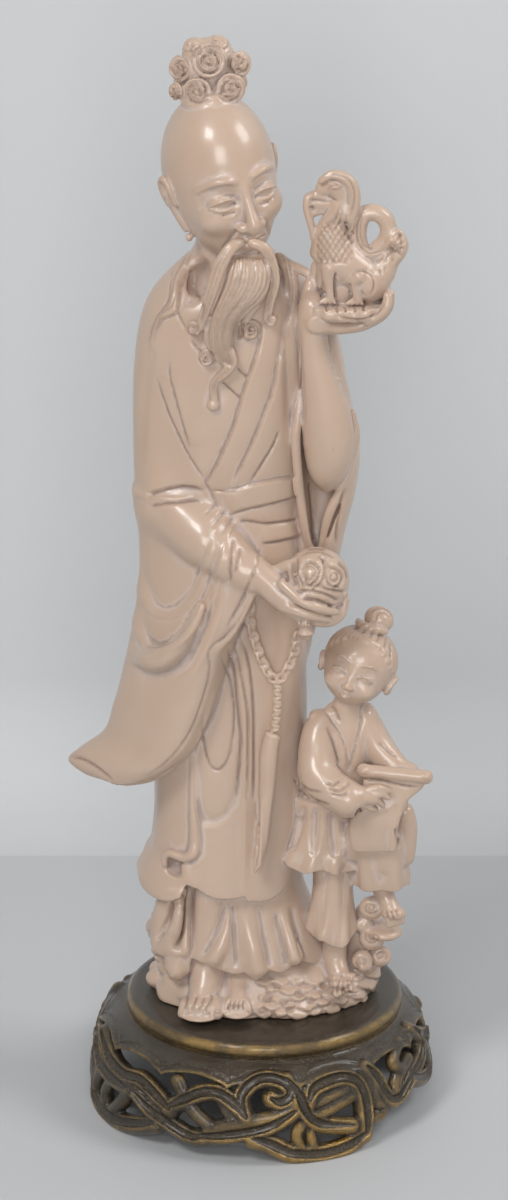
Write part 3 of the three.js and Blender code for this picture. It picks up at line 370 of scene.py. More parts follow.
def stroke(kind, width, depth, line, fall=4.0, side="front", taper=True, within=None):
    # width, depth and fall in millimetres, the line in picture pixels
    shown, seen = carving[side]
    scale = 3.15  # picture pixels to a millimetre
    path = smoothPath([(u, v, 0, 0) for u, v in line], 3.0)[:, :2]
    reach = (width * 3 + (min(fall * 2.5, 30) if kind == "step" else 0)) * scale
    first, last = np.searchsorted(seen[:, 1], (path[:, 1].min() - reach, path[:, 1].max() + reach))
    near = seen[first:last]
    inBox = (near[:, 0] > path[:, 0].min() - reach) & (near[:, 0] < path[:, 0].max() + reach)
    if within is not None:
        inBox &= within(near[:, 0], near[:, 1])
    chosen = first + np.flatnonzero(inBox)
    if not len(chosen):
        return
    at = seen[chosen, :2]
    best = np.full(len(at), 1e9)
    handed = np.zeros(len(at))
    share = np.zeros(len(at))
    for k in range(len(path) - 1):
        run = path[k + 1] - path[k]
        long = max(run @ run, 1e-9)
        t = np.clip(((at - path[k]) @ run) / long, 0, 1)
        away = at - path[k] - t[:, None] * run
        distance = np.hypot(away[:, 0], away[:, 1])
        closer = distance < best
        best[closer] = distance[closer]
        handed[closer] = np.sign(away[closer, 0] * run[1] - away[closer, 1] * run[0])
        share[closer] = (k + t[closer]) / (len(path) - 1)
    d = best / scale
    signed = d * handed
    # painted shade: a dark tone laid into the groove, valley or step's foot, where shadow falls
    ink = 0.0 * d
    if kind in ("line", "soft"):
        height = -np.exp(-((d / width) ** 2))
        if kind == "line":
            ink = np.exp(-((d / (1.1 * width)) ** 2))
    elif kind == "roll":
        height = np.exp(-((d / width) ** 2))
    elif kind == "fold":  # a sharp valley with a swelling beside it
        swell = 0.8 * np.exp(-(((signed - 1.9 * width) / (1.2 * width)) ** 2))
        height = swell - np.exp(-np.abs(d / width) ** 1.5)
        ink = 0.3 * np.exp(-((d / (0.4 * width)) ** 2))
    else:  # step: one side stands proud and falls back slowly
        rise = 1 / (1 + np.exp(-np.clip(signed / (0.22 * width), -30, 30)))
        height = rise * np.exp(-((np.maximum(signed, 0) / fall) ** 2))
        height -= 0.4 * np.exp(-(((signed + 0.5 * width) / width) ** 2))
        ink = 0.8 * np.exp(-(((signed + 0.3 * width) / (0.7 * width)) ** 2))
    if taper:
        thin = np.clip(np.minimum(share, 1 - share) * 6, 0, 1) ** 0.7
        height, ink = height * thin, ink * thin
    ends = np.clip(1 - (best - reach * 0.8) / (reach * 0.2), 0, 1)
    carving["push"][shown[chosen]] += depth * height * ends
    carving["ink"][shown[chosen]] = np.maximum(carving["ink"][shown[chosen]], ink * min(1, 0.4 + depth))


def snail(u, v, radius, turns, start, way, width, depth, tall=1.0):  # a carved spiral
    t = np.linspace(0, 1, int(12 * turns) + 2)
    turn = 2 * math.pi * (start + way * turns * t)
    reach = radius * (1 - 0.9 * t)
    line = np.column_stack([u + reach * np.cos(turn), v + tall * reach * np.sin(turn)])
    stroke("line", width, depth, line, taper=False)


def carve():
    edges, degree = linksOf(carving["faces"])
    push = carving["push"][:, None]
    push = 0.5 * push + 0.5 * averaged(push, edges, degree)
    carving["points"] = carving["points"] + carving["normals"] * push


def crowding(points, normals, reach=4.0, out=3.5):  # how hemmed in each point is, 0 to 1
    step = max(1, int(round(1.6 / clay["cell"])))
    filled = (clay["field"][::step, ::step, ::step] < 0).astype(np.float32)
    size = clay["cell"] * step
    half = max(1, int(round(reach / size)))
    for axis in range(3):
        padded = np.concatenate([np.zeros_like(np.take(filled, [0], axis))] * (half + 1) + [filled], axis)
        padded = np.concatenate([padded, *[np.zeros_like(np.take(filled, [0], axis))] * half], axis)
        total = np.cumsum(padded, axis)
        span = filled.shape[axis]
        filled = (
            np.take(total, range(2 * half + 1, 2 * half + 1 + span), axis)
            - np.take(total, range(0, span), axis)
        ) / (2 * half + 1)
    at = np.rint((points + normals * out - clay["low"]) / size).astype(int)
    at = np.clip(at, 0, np.array(filled.shape) - 1)
    return filled[tuple(at.T)]


def makeMesh(name, points, faces, most):
    mesh = bpy.data.meshes.new(name)
    mesh.vertices.add(len(points))
    mesh.vertices.foreach_set("co", ((points + standMiddle) * 0.001).astype(np.float32).ravel())
    mesh.loops.add(faces.size)
    mesh.loops.foreach_set("vertex_index", faces.astype(np.int32).ravel())
    mesh.polygons.add(len(faces))
    mesh.polygons.foreach_set("loop_start", np.arange(0, faces.size, faces.shape[1], dtype=np.int32))
    mesh.update(calc_edges=True)
    piece = bpy.data.objects.new(name, mesh)
    bpy.context.scene.collection.objects.link(piece)
    triangles = len(faces) * 2
    if triangles > most:
        thin = piece.modifiers.new("thin", "DECIMATE")
        thin.ratio = most / triangles
        thin.use_collapse_triangulate = True
        shown = bpy.context.evaluated_depsgraph_get()
        fewer = bpy.data.meshes.new_from_object(piece.evaluated_get(shown))
        piece.modifiers.clear()
        piece.data = fewer
        bpy.data.meshes.remove(mesh)
    piece.data.name = name
    piece.data.polygons.foreach_set("use_smooth", [True] * len(piece.data.polygons))
    return piece


def wearOf(points, faces):  # how hollow, edged and crowded the dense skin is at each point
    normals = normalsOf(points, faces)
    edges, degree = linksOf(faces)
    flat, fine = points, None
    for k in range(30):
        flat = averaged(flat, edges, degree)
        if k == 5:
            fine = ((flat - points) * normals).sum(1)
    broad = ((flat - points) * normals).sum(1)
    return {
        "hollow": np.clip(np.clip(fine / 0.10, 0, 1) * 0.5 + np.clip(broad / 0.35, 0, 1) * 0.5, 0, 1),
        "edge": np.clip(-fine / 0.3, 0, 1) * 0.6 + np.clip(-broad / 1.2, 0, 1) * 0.4,
        "crowd": np.clip(crowding(points, normals) * 1.6, 0, 1),
    }


def carry(piece, points, fields):  # values from the dense skin to the thinned mesh, by place
    mesh = piece.data
    thin = np.empty(len(mesh.vertices) * 3, np.float32)
    mesh.vertices.foreach_get("co", thin)
    thin = thin.reshape(-1, 3) * 1000.0 - standMiddle
    size = 1.3 * clay["cell"]

    def keyOf(at, shift=(0, 0, 0)):
        spot = np.floor((at - clay["low"]) / size).astype(np.int64) + 2 + shift
        return (spot[:, 0] * 4000 + spot[:, 1]) * 4000 + spot[:, 2]

    keys, index = np.unique(keyOf(points), return_inverse=True)
    index = index.ravel()
    count = np.bincount(index)
    around = [((0, 0, 0), 3)] + [(shift, 1) for axis in np.eye(3, dtype=int) for shift in (axis, -axis)]
    lookups = []
    for shift, weight in around:
        wanted = keyOf(thin, shift)
        at = np.minimum(np.searchsorted(keys, wanted), len(keys) - 1)
        lookups.append((at, (keys[at] == wanted) * weight))
    hits = np.maximum(sum(found for at, found in lookups), 1)
    for name, values in fields.items():
        mean = np.bincount(index, values) / count
        carried = sum(mean[at] * found for at, found in lookups) / hits
        mesh.attributes.new(name, "FLOAT", "POINT").data.foreach_set("value", carried.astype(np.float32))


def placed(rows):  # picture x, picture y and depth y (mm) to a place; anything after them is kept
    rows = np.atleast_2d(np.asarray(rows, float))
    tilt = math.radians(camera["down"])
    right = (rows[:, 0] - camera["middle"][0]) / camera["focal"]
    up = (camera["middle"][1] - rows[:, 1]) / camera["focal"]
    far = (rows[:, 2] - camera["place"][1]) / (math.cos(tilt) + up * math.sin(tilt))
    height = camera["place"][2] + (up * math.cos(tilt) - math.sin(tilt)) * far
    return np.column_stack([camera["place"][0] + right * far, rows[:, 2], height, rows[:, 3:]])


def drawnBar(rows, blend=0.8, flat=1.0, facing=(0, -1, 0), cut=False):  # a bar through picture places
    bar(placed(rows), blend, flat, facing, cut)


def drawnFolds(folds):  # bars that each start with their blend
    for blend, *line in folds:
        drawnBar(line, blend)


def drawnEgg(row, radii, blend=0.6, cut=False):
    egg(placed([row])[0], radii, None, blend, cut)


def drawnCurl(row, radius, thick, turns=1.6, start=0.0, way=1, facing=(0, -1, 0.2), blend=0.3):
    curl(placed([row])[0], facing, radius, thick, turns, start, way, blend)


def drawnLoft(rows, blend=0.8, power=2.4, ripple=None, hem=None, soften=0.8):
    # rows run upwards: left and right picture x, picture y, depth y, half thickness
    made = []
    for left, right, v, y, half in rows:
        (x0, _, z, _), (x1, _, _, _) = placed([(left, v, y, 0), (right, v, y, 0)])
        made.append([z, x0, y, x1, y, half])
    loft(made, blend, power, ripple, hem, soften=soften)


def coiled(middle, facing, radius, thick, turns=2.6, start=0.0, blend=0.2):  # a ball wound with one spiral
    facing = np.asarray(facing, float) / np.linalg.norm(facing)
    side = np.cross(facing, (0.13, 0.31, 1))
    side /= np.linalg.norm(side)
    over = np.cross(facing, side)
    share = np.linspace(0, 1, int(14 * turns))
    turn = start + share * turns * 2 * math.pi
    polar = np.radians(86 - 80 * share)
    out = (
        np.outer(np.cos(polar), facing)
        + (np.sin(polar) * np.cos(turn))[:, None] * side
        + (np.sin(polar) * np.sin(turn))[:, None] * over
    )
    egg(middle, (radius - thick,) * 3, None, 0.3)
    place = middle + out * (radius - thick * 0.85)
    bar(np.column_stack([place, np.full(len(share), thick)]), blend, step=1.0)


# The sage's robes
robe = {
    "gown": [
        [74, -40.2, -1, 11.5, -1, 22.4],
        [78, -41.4, -1, 11.8, -1, 22.2],
        [81, -41.1, -1, 12, -1, 21.8],
        [84, -39.8, -1, 12, -1, 21.4],
        [89, -36.9, -1, 12.6, -1, 20.6],
        [95, -35.9, -1, 13, -1, 19.6],
        [125, -35.6, -0.5, 13.4, -0.5, 18.4],
        [160, -34, -0.5, 13, -0.5, 18],
        [190, -33, 0, 13, 0, 17.6],
        [207, -32, 0, 13, 0, 17.4],
        [226, -34, 0, 13.5, 0, 18.4],
        [247, -37, 0, 14, 0, 19],
        [262, -36.8, 0, 15, 0, 18.5],
        [272, -34.7, 0, 14.5, 0, 17],
        [280, -29.5, 1, 10, 1, 14],
        [287, -23.5, 1, 3.5, 1, 10.5],
        [293, -19.5, 0, -2, 0, 7],
    ],
    "hemAcross": [
        -42, -40, -37, -34, -31, -27.5, -25, -22, -19, -16, -13, -9.5, -6.3, -5.6, -1, 2.4, 5, 7.3, 8.6, 11,
        14,
    ],
    "hemHeight": [
        82, 77.2, 76.2, 76, 76.6, 78.4, 82.6, 81.8, 79.7, 78.4, 78, 78.3, 78.9, 77, 76.5, 76.7, 77.8, 79.9,
        82.1, 86, 90,
    ],
    "underRobe": [
        [41, -33, 0, 21, 0, 19.5],
        [46, -33.6, 0, 22, 0, 21],
        [50, -34.3, 0, 22.4, 0, 21.8],
        [54, -36, 0, 21.4, 0, 21.6],
        [58.4, -38.2, 0, 19.6, 0, 21.2],
        [61.4, -35.8, 0, 18, 0, 20.6],
        [67, -31.8, 0, 15.5, 0, 19.6],
        [74, -30.4, 0, 13, 0, 18.6],
        [90, -30, 0, 11, 0, 17.5],
    ],
    "skirtAcross": [
        -38, -34, -30, -27, -24.4, -23.5, -18.3, -15, -12.5, -10, -8, -6, -2.8, -0.8, 1.8, 4, 6.3, 8.3, 9.5,
        12.5, 15.4, 18, 22,
    ],
    "skirtHeight": [
        58, 50, 49.3, 49, 50.5, 55.6, 54.5, 53.1, 51.7, 51, 51.3, 52, 49.5, 53.1, 52.4, 51, 51, 52, 55.2,
        53.3, 51.6, 51, 52,
    ],
    "cornerHollow": (177, 866, -18.6),
    "cornerLip": [
        (193, 745, -16.4, 1.0), (193, 780, -17.6, 1.3), (194, 815, -18.4, 1.6), (195, 840, -19.2, 1.9),
        (194, 850, -20, 2.0), (190, 856, -20.4, 1.8), (183, 857.5, -19.8, 1.5), (176, 855, -18.8, 1.4),
        (169, 853, -17.6, 1.3), (165, 857, -16.8, 1.2), (164.6, 864, -16.4, 1.1),
    ],
    "cornerFold": [(186, 866, -18.6, 1.6), (188, 876, -19, 1.8), (196, 884, -19.4, 1.8)],
    "footFold": [
        [50, -24.6, -15.5, -9.5, -16, 6.4],
        [56, -24, -15, -9.8, -15.5, 6.2],
        [68, -23.4, -14, -10.4, -14, 5.8],
        [84, -22.5, -13, -11, -13, 5.4],
    ],
    "flare": [
        # blend, then the fold's line
        (1.6, (176, 890, -11, 2.6), (169, 906, -10.6, 2.4), (160, 920, -8.8, 1.9), (149.6, 929, -6, 1.0)),
        (3.0, (168, 900, -10, 3.4), (166, 925, -10, 4.0), (166, 944, -11, 4.4)),
        (1.4, (181, 890, -16, 1.6), (179, 912, -17, 1.9), (173, 932, -17, 1.8), (163, 950, -15.4, 1.4)),
        (2.4, (176, 945, -15, 3.4), (177, 966, -16, 4.0)),
    ],
    "flareGroove": [
        (186, 892, -17.5, 1.5), (185.6, 915, -18, 1.7), (184, 935, -18.6, 1.7), (180, 948, -18.6, 1.2),
    ],
    "flutes": [
        (2.2, (242, 905, -16.4, 1.0), (247, 925, -18, 1.8), (253, 948, -20, 2.9), (257, 968, -21, 3.3)),
        (2.0, (232, 908, -17, 0.9), (228, 925, -18.4, 1.4), (221, 945, -20.2, 2.4), (214, 957, -20.8, 2.8)),
        (2.2, (281, 915, -14.4, 1.4), (287, 935, -17, 2.5), (294, 956, -18.8, 3.0)),
    ],
    "collar": [
        (1.5, (290, 300, -9, 2.2), (292, 286, -9, 2.4), (288, 268, -8, 2.2), (279, 258, -6, 1.8)),
        (0.8, (287, 264, -8, 1.5), (298, 268, -8, 1.5), (309, 274, -8, 1.4)),
    ],
    "neckHollow": (198, 276, -12),
}


def pleated(turn, count, sharp=0.6):
    wave = np.cos(count * turn + 1.3 * np.sin(2 * turn) + 0.6)
    return np.sign(wave) * np.abs(wave) ** sharp


def makeRobes():
    def behind(turn):
        return np.clip(np.sin(turn) * 1.6 + 0.2, 0, 1)

    def gownRipple(turn, z, along):
        low = np.clip((112 - z) / 32, 0, 1)
        back = np.clip((250 - z) / 120, 0, 1)
        return behind(turn) * (0.9 * low * pleated(turn, 8) + 1.1 * back * pleated(turn + z * 0.002, 9, 0.8))

    def gownHem(x, y):
        front = np.interp(x, robe["hemAcross"], robe["hemHeight"])
        back = 79 + 1.6 * np.cos(x * 0.42)
        return back + (front - back) * np.clip(0.5 - y / 14, 0, 1)

    def skirtRipple(turn, z, along):
        return 1.5 * behind(turn) * np.clip((92 - z) / 40, 0, 1) * pleated(turn, 12, 0.75)

    def skirtHem(x, y):
        front = np.interp(x, robe["skirtAcross"], robe["skirtHeight"])
        back = 47.5 + 1.6 * np.cos(x * 0.5)
        return back + (front - back) * np.clip(0.5 - y / 14, 0, 1)

    loft(robe["gown"], 1.0, 2.4, gownRipple, gownHem, soften=0.8)
    drawnEgg(robe["cornerHollow"], (4.4, 4.6, 3.4), 1.2, cut=True)  # under the corner that turns over
    drawnBar(robe["cornerLip"], 0.9)
    drawnBar(robe["cornerFold"], 1.5)
    loft(robe["underRobe"], 0.6, 2.2, skirtRipple, skirtHem, soften=0.6)
    loft(robe["footFold"], 0.5, 2.4, None, skirtHem, soften=0.6)
    drawnFolds(robe["flare"])
    drawnBar(robe["flareGroove"], 0.6, cut=True)
    drawnFolds(robe["flutes"])
    drawnFolds(robe["collar"])
    drawnEgg(robe["neckHollow"], (4.2, 6, 6.4), 1.5, cut=True)


# The sleeve that hangs from the lowered arm
loweredSleeve = {
    "upperArm": [
        [-21, 1, 277, 9], [-26, 0.5, 267, 12], [-28.5, 0, 250, 12.5], [-28.8, -1, 226, 12.6],
        [-28.6, -3, 207, 12],
    ],
    "foreArm": [[-29, -5, 207, 11], [-18, -16.5, 199, 9.6], [-8, -23, 192, 6.8], [-3, -25, 189.5, 5.6]],
    "bag": [
        [114.4, -57, -3, -43, -17, 3.4],
        [118, -62.2, 0, -37, -19.5, 5.5],
        [122, -58.6, 0, -32, -22, 7.2],
        [128, -50.4, 0, -26, -24, 8.6],
        [139, -45.8, 0, -20.5, -24.5, 9.5],
        [152, -42.4, 0, -16, -24.5, 10],
        [169, -39.2, 0, -10.5, -25, 10],
        [180, -38.4, 0, -5, -25, 9],
        [193, -38.6, 0, -3, -24, 8],
        [204, -39, 0, -14, -18, 8.6],
        [212, -39.4, 0, -22, -12, 9],
    ],
    "hollow": [
        [108, -61, -1, -41, -18.5, 3.4],
        [119, -59, 0, -36, -20.5, 4.6],
        [127, -49, -3, -30, -22, 5.6],
        [137, -44, -6, -27, -20, 4.4],
        [146, -40, -8, -28, -17, 2],
    ],
    "lip": [
        (213, 690, -22.6, 0.9), (203, 722, -22.6, 1.0), (190, 748, -21.4, 1.0), (172, 767, -19.4, 1.0),
        (150, 779, -16, 1.0), (126, 783, -12, 1.0),
    ],
    "band": [
        (263, 569, -27, 0.9), (250, 600, -27.4, 1.0), (234, 630, -26.8, 1.1), (219, 648, -26.4, 1.0),
        (212, 653, -26, 0.9),
    ],
    "swag": [
        (138, 655, -10, 2.4), (150, 660, -20, 3.4), (168, 656, -25.6, 3.2), (186, 636, -28.4, 2.4),
        (200, 606, -29, 1.4),
    ],
}


def makeLoweredSleeve():
    bar(loweredSleeve["upperArm"], 3.0)
    bar(loweredSleeve["foreArm"], 3.0)
    loft(loweredSleeve["bag"], 2.0, 2.6)
    loft(loweredSleeve["hollow"], 1.0, 2.0, cut=True)
    drawnBar(loweredSleeve["lip"], 1.2)
    drawnBar(loweredSleeve["band"], 1.0)
    drawnBar(loweredSleeve["swag"], 3)


# The sleeve fallen back from the raised arm
raisedSleeve = {
    "bag": [
        [151, 10, 3, 13, 3, 1.5],
        [160, 9.5, 2, 15.5, 2, 5],
        [172, 9, 1, 19.5, 1, 8],
        [186, 9, 0, 23.3, 0, 11.5],
        [197, 9, 0, 25.5, 0, 13],
        [212, 8.5, 0, 29, 0, 14],
        [222, 8, 0, 30, 0, 14.5],
        [233, 8, 0, 28.4, 0, 14.5],
        [245, 7, 0.5, 25.8, 0.5, 14],
        [258, 4, 1, 23.6, 1, 13],
        [270, 0, 1, 19.5, 1, 11],
        [279, -4, 1, 12, 1, 7],
    ],
    "mouth": [
        [186, 16.5, -12, 17.5, -12, 3.5],
        [194, 14.5, -12, 19, -12, 7],
        [206, 12, -12, 22.8, -12, 9.5],
        [220, 11, -12, 25.8, -12, 10.5],
        [234, 10.6, -12, 26, -12, 10],
        [250, 11, -13, 22, -13, 7],
        [260, 12, -13, 18, -13, 4],
    ],
    "arm": [
        (327, 482, -12, 3.2), (328, 466, -13, 6.4), (329, 445, -13.6, 8.0), (327, 420, -14, 7.8),
        (323, 395, -14.6, 6.6),
        (318, 368, -15, 5.2), (314, 345, -15, 4.5), (312, 322, -14.4, 4.6), (313, 306, -14, 4.2),
    ],
    "upperArm": [[11, -1, 262, 8], [16, -4, 243, 8], [19.5, -8, 226, 7]],
    "leftHem": [
        (303, 392, -12, 1.1), (296, 430, -14.4, 1.5), (297, 462, -14.6, 1.5), (301, 500, -13.6, 1.5),
        (306, 535, -12, 1.3), (314, 552, -10, 0.9),
    ],
    "rightHem": [
        (352, 412, -8, 1.0), (356, 436, -9.6, 1.3), (350, 462, -11, 1.5), (340, 490, -12, 1.5),
        (328, 516, -12, 1.5), (321, 548, -10, 1.0),
    ],
}


def makeRaisedSleeve():
    loft(raisedSleeve["bag"], 2.0, 2.5)
    loft(raisedSleeve["mouth"], 0.8, 2.2, cut=True)
    drawnBar(raisedSleeve["leftHem"], 0.8)
    drawnBar(raisedSleeve["rightHem"], 0.8)
    bar(raisedSleeve["upperArm"], 1.5)
    drawnBar(raisedSleeve["arm"], 0.6)


# The sage's head: a calm, general face, set on its own axes of right, forward and up
head = {
    "middle": (-13.4, -5.0, 313.5),
    "turn": (5, -10, 24),
    "eyeUp": -0.6,
    "eyeApart": 6.8,
    "browUp": 4.4,
    "noseUp": -10.8,
    "mouthUp": -15.4,
    # right, forward and up from here on
    "skull": [
        ((0, -1.5, 3), (17.2, 19.6, 23.8), 0.8), ((0, 4.5, -9), (13.4, 13.6, 14.5), 5),
        ((0, 9.5, -16.5), (7.5, 7.5, 6.5), 4),
    ],
    "eyeLines": [
        # radius, blend, cut or not, then the line about the eye's middle: lids, slit and crease
        (
            0.5, 0.25, False, (-3.9, 16.2, -1.2), (-2, 17.6, 0.7), (0.2, 17.9, 1.1), (2.4, 17.0, 0.5),
            (4.4, 14.8, -1.0),
        ),
        (
            0.42, 0.25, False, (-3.6, 16.1, -1.7), (-1.6, 17.2, -2.4), (0.6, 17.3, -2.5), (2.6, 16.5, -2.0),
            (4.2, 14.8, -1.3),
        ),
        (
            0.42, 0.2, True, (-3.6, 16.6, -1.4), (-1.6, 17.7, -0.9), (0.6, 17.9, -0.8), (2.6, 17.1, -0.8),
            (4.3, 15.0, -1.1),
        ),
        (0.34, 0.3, True, (-3.2, 16.9, 1.4), (-0.6, 18.0, 2.4), (2.2, 17.3, 2.0), (4.6, 14.8, 0.4)),
    ],
    "brow": [(2.8, 17.6, 0.9, 0.7), (6.0, 17.4, 2.0, 1.1), (9.6, 15.4, 1.5, 1.0), (13.0, 11.2, -1.4, 0.6)],
    "bag": [(3.2, 17.2, -3.4, 0.3), (6.4, 17.2, -4.4, 0.35), (9.6, 15.0, -3.4, 0.3)],
    "cheekLine": [(3.6, 17.6, -9.8, 0.5), (6.2, 15.8, -13.6, 0.5), (7.6, 13.6, -17, 0.4)],
    "nose": [
        (0, 17.2, 3.2, 1.4), (0, 18.4, -0.5, 1.3), (0, 20.2, -5, 1.6), (0, 21.4, -8.6, 2.2),
        (0, 20.6, -10.4, 2.0),
    ],
    "upperLip": [
        (-4.6, 15.4, 0.1, 0.6), (-2, 17.6, 1.2, 1.0), (0, 18.2, 0.9, 1.0), (2, 17.6, 1.2, 1.0),
        (4.6, 15.4, 0.1, 0.6),
    ],
    "lowerLip": [(-3.8, 15.6, -0.9, 0.7), (0, 17.9, -1.5, 1.3), (3.8, 15.6, -0.9, 0.7)],
    "mouth": [(-4.8, 16, 0, 0.45), (0, 19, -0.1, 0.45), (4.8, 16, 0, 0.45)],
    "foreheadLines": [(10.6, 8.4), (13.0, 7.4), (15.4, 5.6)],
    "earRim": [
        (16.6, 1.4, -3.6), (17.8, 1.2, 1.2), (18.4, -0.8, 4.2), (18.7, -3.2, 3.0), (18.2, -4.4, -0.8),
        (17.0, -3.4, -5.4),
    ],
    "earLobe": [(16.4, -0.6, -6, 1.7), (15.4, 0.4, -9.6, 1.6), (14.4, 1.2, -12.6, 1.5)],
}


def headTurn():
    return turned(*head["turn"])


def onHead(rows):
    rows = np.atleast_2d(np.asarray(rows, float))
    local = np.column_stack([rows[:, 0], -rows[:, 1], rows[:, 2]])
    world = local @ headTurn().T + np.array(head["middle"])
    return np.column_stack([world, rows[:, 3:]])


def headBar(rows, blend=0.8, flat=1.0, facing=(0, -1, 0), cut=False):
    bar(onHead(rows), blend, flat, headTurn() @ np.array(facing, float), cut, step=1.0)


def headEgg(middle, radii, blend=0.8, cut=False, tip=(0, 0, 0)):
    egg(onHead([middle])[0], radii, headTurn() @ turned(*tip), blend, cut)


def lifted(rows, up, side=1):  # head rows moved up, and mirrored when side is -1
    return [(side * r, f, up + u, *rest) for r, f, u, *rest in rows]


def makeHead():
    bar([[-12, 2, 280, 9], [-12.5, 0, 298, 8.6]], 2.5)
    for middle, radii, blend in head["skull"]:
        headEgg(middle, radii, blend)
    eyeUp, apart, noseUp, mouthUp = head["eyeUp"], head["eyeApart"], head["noseUp"], head["mouthUp"]
    for side in (-1, 1):
        headEgg((side * apart, 19.8, eyeUp + 0.4), (5.2, 3.6, 3.3), 2.0, cut=True)  # socket
        headEgg((side * (apart + 0.2), 14.5, eyeUp), (3.9, 3.0, 2.6), 0.4)  # eyeball under its lid
        for radius, blend, cut, *line in head["eyeLines"]:
            headBar([(side * (apart + r), f, eyeUp + u, radius) for r, f, u in line], blend, cut=cut)
        headBar(lifted(head["brow"], head["browUp"], side), 1.4)
        headEgg((side * 8.6, 12.6, -7.0), (5.0, 4.0, 4.2), 3.2)  # cheek
        for lift, long in ((1.6, 2.6), (-0.4, 3.2), (-2.4, 2.6)):  # lines beside the eye
            inner = (side * 11.4, 13.4, eyeUp - 0.4 + 0.3 * lift, 0.2)
            headBar([inner, (side * (11.4 + long), 10.8, eyeUp + lift, 0.3)], 0.3, cut=True)
        headBar(lifted(head["bag"], eyeUp, side), 0.5, cut=True)
        headEgg((side * 3.0, 18.6, noseUp + 1.2), (1.9, 2.4, 1.7), 0.7)  # nostril wing
        headEgg((side * 1.7, 20.0, noseUp - 0.4), (0.7, 1.3, 0.7), 0.3, cut=True)
        headBar(lifted(head["cheekLine"], 0, side), 0.8, cut=True)
        makeEar(side)
    headBar(head["nose"], 1.4)
    headBar(lifted(head["upperLip"], mouthUp), 0.6)
    headBar(lifted(head["lowerLip"], mouthUp), 0.7)
    headBar(lifted(head["mouth"], mouthUp), 0.3, cut=True)
    headBar([(0, 19.2, noseUp - 1.6, 0.5), (0, 18.9, mouthUp + 2.2, 0.5)], 0.8, cut=True)
    for up, wide in head["foreheadLines"]:
        line = []
        for share in np.linspace(-1, 1, 7):
            forward = 18.9 - 3.3 * (share * wide / 8) ** 2 - 0.09 * (up - 10) ** 1.5
            line.append((share * wide, forward, up + 0.5 * math.cos(3 * share), 0.42))
        headBar(line, 0.4, cut=True)


def makeEar(side):
    headEgg((side * 16.6, -2, -1.6), (1.9, 3.2, 5.6), 1.2, tip=(0, 0, side * 14))
    headBar([(side * r, f, u, 1.05) for r, f, u in head["earRim"]], 0.3)
    headEgg((side * 19.0, -1.4, 0.2), (1.7, 1.6, 3.2), 0.5, cut=True)
    headBar(lifted(head["earLobe"], 0, side), 0.6, flat=0.8, facing=(1, 0.3, 0))
    headEgg((side * 13.9, 1.4, -16), (1.2, 1.2, 1.3), 0.3)  # earring


# Topknot: a double collar and a mound of wound curls
topknot = {
    "foot": (1.6, -4, 26.6),
    "front": [
        # picture x, picture y, depth, radius, facing
        (197, 89, -7.5, 4.7, (-0.1, -1, -0.1)),
        (229, 88, -6.8, 5.0, (0.3, -1, 0.1)),
        (209, 61, -6.4, 5.6, (0, -1, 0.25)),
        (182, 68, -2.4, 4.1, (-0.6, -1, 0.1)),
        (237, 64, -2.0, 4.4, (0.7, -1, 0.2)),
        (179, 91, -2.0, 3.2, (-1, -0.4, 0)),
        (195, 50, -0.4, 3.9, (-0.4, -0.6, 0.8)),
        (217, 49, 0.2, 4.3, (0.2, -0.5, 1)),
    ],
    "back": [
        # right, back, up of the mound's middle, radius, facing
        (-6.5, 6.5, -6.0, 4.2, (-0.7, 1, 0)),
        (1.0, 8.6, -6.5, 4.5, (0, 1, 0)),
        (8.0, 5.5, -6.0, 4.0, (0.8, 0.8, 0)),
        (-4.0, 7.6, 1.5, 4.2, (-0.3, 1, 0.4)),
        (4.4, 7.6, 1.0, 4.3, (0.4, 1, 0.3)),
    ],
}


def makeTopknot():
    right, forward, up = topknot["foot"]
    for wide, lift in ((8.3, -1.2), (7.7, 0.8)):
        ring = [
            (right + wide * math.cos(t), wide * 0.96 * math.sin(t) + forward, up + lift, 1.05)
            for t in np.linspace(0, 2 * math.pi, 16)
        ]
        headBar(ring, 0.4)
    headEgg((right, forward, up - 1), (8.6, 8.4, 3.4), 1.2)
    heart = placed([(208, 68, 1)])[0]
    egg(heart, (8.8, 8.0, 9.6), None, 0.6)
    for number, (u, v, y, radius, facing) in enumerate(topknot["front"]):
        coiled(placed([(u, v, y)])[0], facing, radius, 0.2 * radius, 2.5, number * 1.7)
    for number, (x, y, z, radius, facing) in enumerate(topknot["back"]):
        coiled(heart + (x, y, z), facing, radius, 0.2 * radius, 2.5, number * 2.3)


